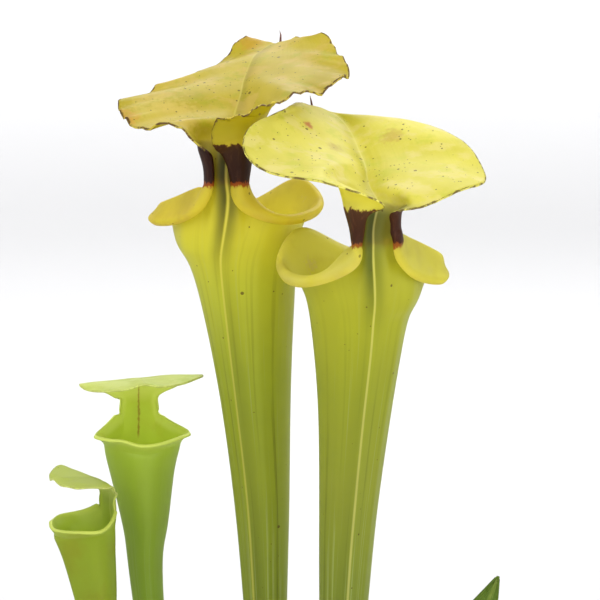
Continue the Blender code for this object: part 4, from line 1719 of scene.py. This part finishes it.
LEMON = PitcherFinish(
    name="Lemon pitcher",
    heights=((0.105, (150, 92, 62)), (0.16, (130, 126, 58)), (0.24, (112, 128, 46)),
             (0.31, (132, 146, 52)), (0.36, (152, 162, 56)), (0.40, (158, 168, 48)),
             (0.43, (170, 176, 44)), (0.455, (180, 182, 52)), (0.48, (176, 178, 76))),
    lid=(234, 227, 106), lid_dark=(218, 211, 88), lid_green=(204, 208, 72),
    lid_pale=(238, 226, 150), keel=(238, 232, 144), groove_shade_and_streaks=(80, 94, 30),
    groove_shade_reach=(0.415, 0.460), groove_shade_sides=(0.95, 0.6), groove_shade_floor=0.15,
    lip=(242, 232, 98), bowl=(248, 238, 110), shaded_underside=(214, 204, 56),
    flank=(78, 42, 32), flank_vein=(104, 58, 38), flank_edge=(176, 96, 40),
    flank_reach=(0.4670, 0.4805), margin=(110, 94, 46), margin_width=0.45, speck_share=0.95,
    # The first mark is a painted highlight: a pale peach patch on the inside of the lip.
    marks=(Mark(Face.INNER, (0.006, -0.002, 0.449), 0.007, (236, 214, 152), 0.75),
           Mark(Face.INNER, (0.062, -0.018, 0.451), 0.006, (236, 216, 160), 0.75),
           Mark(Face.OUTER, (0.0078, -0.002, 0.5107), 0.0032, (190, 96, 70), 0.85),
           Mark(Face.OUTER, (0.0443, 0.003, 0.505), 0.0065, (196, 158, 84), 0.5),
           Mark(Face.OUTER, (0.0195, -0.009, 0.5025), 0.0045, (178, 150, 76), 0.5)))

YOUNG = PitcherFinish(
    name="Young pitcher",
    heights=((0.105, (150, 100, 70)), (0.15, (120, 130, 52)), (0.24, (124, 152, 48)),
             (0.30, (148, 174, 60)), (0.36, (172, 194, 70)), (0.38, (196, 208, 92))),
    lid=(214, 222, 124), lid_dark=(198, 208, 104), lid_green=(184, 202, 86),
    lid_pale=(222, 228, 146), keel=(200, 206, 120), groove_shade_and_streaks=(120, 140, 50),
    groove_shade_reach=(0.30, 0.36), lip=(208, 220, 104), bowl=(192, 208, 70),
    shaded_underside=(206, 216, 110), margin=(190, 196, 110), bloom_and_sheen=(180, 196, 112),
    throat_reach=(0.360, 0.388))

FAR = PitcherFinish(
    name="Far pitcher",
    heights=((0.105, (150, 100, 70)), (0.15, (118, 128, 52)), (0.24, (118, 146, 48)),
             (0.30, (140, 164, 56)), (0.33, (156, 176, 62)), (0.36, (188, 200, 88))),
    lid=(206, 214, 118), lid_dark=(188, 198, 96), lid_green=(178, 194, 82),
    lid_pale=(214, 220, 138), keel=(190, 198, 110), groove_shade_and_streaks=(116, 136, 50),
    groove_shade_reach=(0.28, 0.32), lip=(198, 210, 96), bowl=(182, 198, 66),
    shaded_underside=(198, 208, 104), margin=(184, 190, 104), bloom_and_sheen=(176, 192, 110))


def left_pitcher() -> TallPitcher:
    """Tall pitcher with the ruffled ochre lid.

    Returns:
        The pitcher's tables, in millimetres.
    """
    return TallPitcher(
        name="ruffled_pitcher", node="pitcher_tall_left", slot="ochre_pitcher",
        finish=OCHRE, mouth=(-23.8, 21.0, 473.0),
        tube=((FOOT, -5.0, 7.0, 3.3, 3.3, -10), (150, -6.8, 9.5, 3.9, 4.0, -16),
              (215, -9.4, 13.5, 6.2, 6.4, -22), (292, -11.5, 18.0, 9.6, 9.8, -26),
              (339, -13.0, 20.0, 12.2, 12.4, -26), (385, -15.6, 21.0, 15.4, 15.4, -29),
              (424, -18.6, 21.0, 19.8, 19.2, -26), (448, -21.4, 21.0, 23.8, 22.8, -20),
              (460, -23.6, 21.0, 27.6, 26.0, -11)),
        lip_rolled=(
            ((8, -23.5, 2.5), (9.5, -28, 5.5), (7.5, -33, 3.5), (4.5, -32.5, 1)),
            ((17, -24.5, -4), (19, -28.5, -0.3), (20.3, -31, -1.8), (19, -30.3, -4)),
            ((26, -13, -5), (30, -16.5, -1), (32, -18, -2.2), (30.6, -17.4, -4.6)),
            ((32, 0, -3), (36.5, -1, 1.5), (38.3, -1, 0.3), (37.3, -1, -2)),
            ((29, 11, 0), (33, 14, 6.5), (35, 15.5, 5.5), (34.5, 15.5, 3)),
            ((19, 23, -1), (22.5, 28, 7), (24, 30.5, 6), (23.6, 30, 3.5))),
        lip_open=(
            ((-13, -22.5, 8.5), (-15.5, -26.5, 8), (-15, -30.5, 5.5), (-13, -29.5, 3)),
            ((-17, -19.5, 9), (-18.5, -24, 4.5), (-19.5, -27, 0.5), (-18, -26.3, -1.6)),
            ((-25.5, -9, 4.5), (-27.5, -13, 0), (-29.5, -15.5, -4.5), (-27.7, -14.7, -6.6)),
            ((-32, 3, 0), (-35.5, 0.5, -1.8), (-38.8, -1.5, -5.5), (-36.8, -1, -8)),
            ((-27, 14, -1), (-31, 17, -2.5), (-34, 19, -5), (-32.2, 18, -7)),
            ((-16, 24, -3), (-19, 29, -2.5), (-21, 33, -4.5), (-20, 31, -7))),
        lip_front=((2, 29, -8), (3, 36, -4), (3, 40, -6), (3, 38, -9)),
        column=(
            ((-10, -31, 9), (-11.5, -32, 11.5), (-13.5, -27, 11.5), (-11.5, -23.5, 8),
             (-9, -26, 3), (-3, -26, 3), (2, -26, 3), (4, -23.5, 7), (6.5, -27, 11.5),
             (3.5, -33, 10.5), (-1, -31, 8)),
            ((-9, -30, 14), (-10.5, -31.5, 14), (-13, -26, 14), (-10.5, -22, 12), (-8, -25, 12),
             (-3.5, -25, 12), (2, -25, 12), (4, -22, 13), (6, -27, 14), (3, -32.5, 14),
             (-1.5, -30, 13)),
            ((-9, -30, 20), (-10.5, -31.5, 21), (-13.5, -26, 21), (-11, -22, 20), (-8, -25, 20),
             (-3.5, -25, 20), (2, -25, 20), (5, -22, 20), (7, -27, 21), (3, -33, 21),
             (-3, -31, 21)),
            ((-10, -31, 26), (-12.5, -32, 28), (-15.5, -26, 28), (-12, -21, 27), (-7, -23, 27),
             (-2.5, -23, 27), (3, -23, 27), (6, -21, 27), (8, -27, 28), (3, -34.5, 29),
             (-6, -32, 27))),
        midrib=((-1, -19, 32), (-1, -13, 38), (0, -5, 43), (2, 4, 49), (3, 14, 54), (5, 24, 59),
                (7, 34, 63), (10, 43, 65), (13, 50, 66.5), (16, 56, 67.5)),
        open_margin=((-15, -33, 30), (-28, -31, 39), (-43, -23, 36.5), (-49.5, -14, 42),
                     (-51, -1, 45.5), (-42, 9, 46), (-33, 19, 51), (-20, 32, 54.5),
                     (-5, 47.5, 62.5), (3, 55, 70.3)),
        rolled_margin=((-9, -36, 31), (-7, -38, 41), (6, -39, 44.5), (18, -32, 49), (30, -25, 51.5),
                       (42, -14, 54), (50, 0, 59), (46, 14, 65), (41, 29, 72), (29, 43, 71)),
        open_bends=((-6, -19, 32), (-10, -18, 32), (-15, -20, 32), (-17, -27, 31)),
        rolled_bends=(
            ((3, -19, 32), (7, -18, 32), (9.5, -26, 33), (2, -36.5, 34)),
            ((4, -13, 38), (8, -13, 38), (12, -24, 38), (5, -37, 40)),
            ((5, -6, 43), (10, -11, 43.5), (14, -22, 43.5), (13, -33, 44)),
            ((4, 2, 49), (10, -6, 49), (15.5, -17, 49), (18, -26, 48.5))),
        tip=((17, 58, 67), (17.5, 59.5, 67), (18, 61, 67), (18.5, 62, 67)),
        camber=1.2, crisping=0.6, pucker=0.15,
        ruffle_open=((1, 0), (1.8, 0.8), (2.6, -1.0), (3.4, 1.2), (4.2, -0.8), (5.0, 1.4),
                     (5.8, -1.0), (6.6, 2.4), (7.4, -1.0), (8.0, 0.8), (8.6, -0.5), (9.3, 1.6),
                     (10.4, 0)),
        ruffle_rolled=((1, 0), (1.9, 0.6), (2.7, -0.8), (3.4, 1.0), (4.1, -1.2), (4.9, 1.2),
                       (5.6, -1.6), (6.3, 1.6), (7.0, -1.4), (7.6, 1.2), (8.4, -1.4), (9.2, 1.2),
                       (9.9, -0.6), (10.45, 6.5), (11, 0)),
        ribs=((38, 5, 0.35), (-46, 6, 0.3)))


def right_pitcher() -> TallPitcher:
    """Tall pitcher with the smooth lemon lid.

    Returns:
        The pitcher's tables, in millimetres.
    """
    return TallPitcher(
        name="smooth_pitcher", node="pitcher_tall_right", slot="lemon_pitcher",
        finish=LEMON, hand=-1.0, mouth=(30.9, -20.0, 455.0),
        tube=((FOOT, 15.0, -6.0, 3.3, 3.3, 4), (150, 17.2, -8.0, 4.0, 4.1, 5),
              (215, 20.4, -12.0, 6.6, 6.8, 5), (304, 23.7, -16.5, 10.5, 10.6, 6),
              (349, 25.7, -18.5, 12.6, 12.8, 9), (388, 28.0, -20.0, 15.4, 15.4, 11),
              (416, 29.2, -20.0, 18.6, 18.2, 14), (432, 30.0, -20.0, 21.4, 20.8, 13),
              (443, 31.0, -20.0, 25.4, 24.6, 10)),
        lip_rolled=(
            ((7.5, -22.5, 4), (8.5, -27, 6.5), (6.5, -32, 4), (4, -31.5, 1)),
            ((15.5, -23, -3.5), (17.5, -27, -1.2), (18.6, -29.6, -3), (17.2, -28.8, -5.6)),
            ((24.5, -12.5, -6.5), (28.5, -15.5, -4), (30.5, -17, -5.8), (29, -16.2, -8.6)),
            ((31, 1, -5.5), (34.5, 1, -1), (36.4, 1, -2.6), (35.2, 1, -5.6)),
            ((27, 12, 0), (31, 15, 6.5), (33, 16.5, 5.3), (32.4, 16.2, 2.6)),
            ((18, 22, 2), (21.5, 26.5, 9), (23, 29, 8), (22.6, 28.6, 5.4))),
        lip_open=(
            ((-15, -20.5, 12.5), (-16.5, -25, 11), (-15, -29.5, 7.5), (-13, -29, 5.5)),
            ((-19, -16, 11), (-19.5, -20.5, 5.5), (-20, -23.5, 0), (-18.5, -23, -2.5)),
            ((-27, -5, 6), (-27.5, -9.5, 1), (-28.5, -12, -5.5), (-26.5, -11.5, -8)),
            ((-33, 3, 1), (-35, 1, -2), (-37, -0.5, -6.5), (-35, -0.5, -9.5)),
            ((-26, 14, 0), (-29.5, 17, -1), (-32, 18.5, -3.5), (-30.5, 18, -6)),
            ((-15.5, 23, -1), (-18.5, 28, 0), (-20.5, 31, -2), (-19.5, 29.5, -4.5))),
        lip_front=((1, 27, -5), (2, 34, -1), (2, 38, -3), (2, 36, -6)),
        column=(
            ((-12, -31, 12.5), (-14.5, -32, 14.5), (-15.5, -26.5, 15.5), (-12.5, -22.5, 13),
             (-9, -26, 5), (-4, -26, 3), (0, -26, 3), (3, -23, 7), (5, -27, 10), (4, -33, 9),
             (1, -31, 8)),
            ((-11, -30, 16), (-13.5, -31, 17), (-15, -26, 18), (-12, -22, 16.5), (-8, -25, 11),
             (-4, -25, 10), (0, -25, 10), (3, -22, 10), (5, -26, 12), (4, -31, 12),
             (1, -30, 11)),
            ((-11, -30, 20), (-13.5, -31, 21), (-15, -26, 21.5), (-12, -21.5, 20), (-8, -24, 17),
             (-4, -24, 16), (0, -24, 16), (3, -22, 17), (6, -26, 18), (4, -32, 18),
             (0, -30, 17)),
            ((-11, -31, 24), (-14, -32, 25), (-16, -25, 25), (-13, -20, 23), (-9, -22, 22),
             (-5, -22, 22), (-1, -22, 22), (4, -20, 23), (8, -26, 25), (4, -34, 25),
             (-2, -32, 24))),
        midrib=((6, -18, 26), (5, -12, 29), (3, -5, 32), (2, 3, 36), (1, 12, 40), (-1, 21, 44),
                (-3, 30, 48.5), (-6, 39, 53), (-10, 47, 56.5), (-14, 53, 58.5)),
        open_margin=((17, -33, 26), (25, -31, 27), (34, -27, 30), (43, -20, 33), (51, -11, 35),
                     (51, 0, 39), (46.5, 11, 46), (37, 24, 52), (22, 37, 55), (4, 47, 51)),
        rolled_margin=((8, -34, 27), (4, -37, 31), (-6, -39, 35), (-19, -37, 38),
                       (-32, -32, 39), (-43, -24, 42), (-50, -14, 49), (-48, -5, 57),
                       (-39, 9.5, 60.5), (-30, 27, 63.5)),
        open_bends=((10, -18, 26), (14, -18, 26), (18, -22, 27), (19, -28, 27)),
        rolled_bends=(
            ((1, -18, 26.5), (-5, -18, 28), (-9, -25, 30), (-2, -35, 29.5)),
            ((0, -12, 30.5), (-6, -15, 34), (-11, -24, 36), (-6, -34.5, 35)),
            ((-1, -5, 34), (-7, -11, 36.5), (-12, -20, 37.7), (-13, -30.5, 37.4)),
            ((0, 2, 37.5), (-7, -5, 40), (-14, -15, 41.5), (-18, -27, 40.6))),
        tip=((-16, 55, 59), (-18, 57, 59), (-20, 58.5, 59), (-21, 59, 60)),
        camber=3.5, crisping=0.06, pucker=0.12,
        ruffle_open=((1, 0), (3, 0.4), (5, -0.3), (7, 0.4), (9.2, -0.5), (10.8, -2.4),
                     (12.2, -0.8)),
        ruffle_rolled=((1, 0), (3, -0.3), (5, 0.4), (7, -0.4), (9, 0.3), (11, 0)),
        ribs=((38, 5, 0.3), (-42, 6, 0.3)))


def young_pitchers() -> tuple[YoungPitcher, YoungPitcher]:
    """The two green pitchers at the left.

    Returns:
        The small one and the one at the far left.
    """
    small = YoungPitcher(
        name="young_pitcher", node="pitcher_small", slot="young_pitcher", finish=YOUNG,
        mouth=(-67.6, 30.0, 368.6),
        tube=((FOOT, -44.0, 16.0, 2.8, 2.8, 189), (185, -54.0, 21.5, 3.9, 3.9, 189),
              (288, -65.6, 28.5, 6.7, 6.8, 189), (321, -66.7, 30.0, 9.4, 9.2, 189),
              (347, -67.8, 30.0, 13.8, 13.0, 189), (359, -67.8, 30.0, 16.4, 15.2, 189)),
        turn=189.0, tilt=-0.06, bead=0.9)
    far = YoungPitcher(
        name="far_pitcher", node="pitcher_far_left", slot="far_pitcher", finish=FAR,
        mouth=(-92.0, 2.0, 334.0),
        tube=((FOOT, -57.0, -8.0, 2.6, 2.6, 123), (185, -70.0, -3.0, 3.6, 3.6, 123),
              (270, -83.5, 0.0, 5.9, 6.0, 123), (297, -86.8, 1.0, 8.2, 8.0, 123),
              (317, -89.5, 2.0, 10.4, 10.2, 123), (327, -91.3, 2.0, 12.4, 12.0, 123)),
        turn=123.0, share=0.8, bead=0.8)
    return small, far


def main() -> None:
    """Build and dress the plant, then the studio."""
    logging.basicConfig(level=logging.INFO, format="%(message)s")
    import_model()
    GrowersPot().build()
    PottingSoil().build()
    left_pitcher().build()
    right_pitcher().build()
    LidTip("ruffled_lid_tip", "pitcher_tall_left", "ochre_pitcher",
           ((-5.2, 82.3, 539.4), (-4.7, 83.2, 542.0), (-4.6, 83.9, 544.6),
            (-5.2, 84.4, 547.0))).build()
    LidTip("smooth_lid_tip", "pitcher_tall_right", "lemon_pitcher",
           ((9.9, 38.5, 514.4), (9.6, 39.1, 516.4), (9.2, 39.5, 518.4), (8.8, 39.9, 520.4)),
           0.6).build()
    for young in young_pitchers():
        young.build()
    SwordLeaf().build()
    Studio().build()


if __name__ == "__main__":
    main()
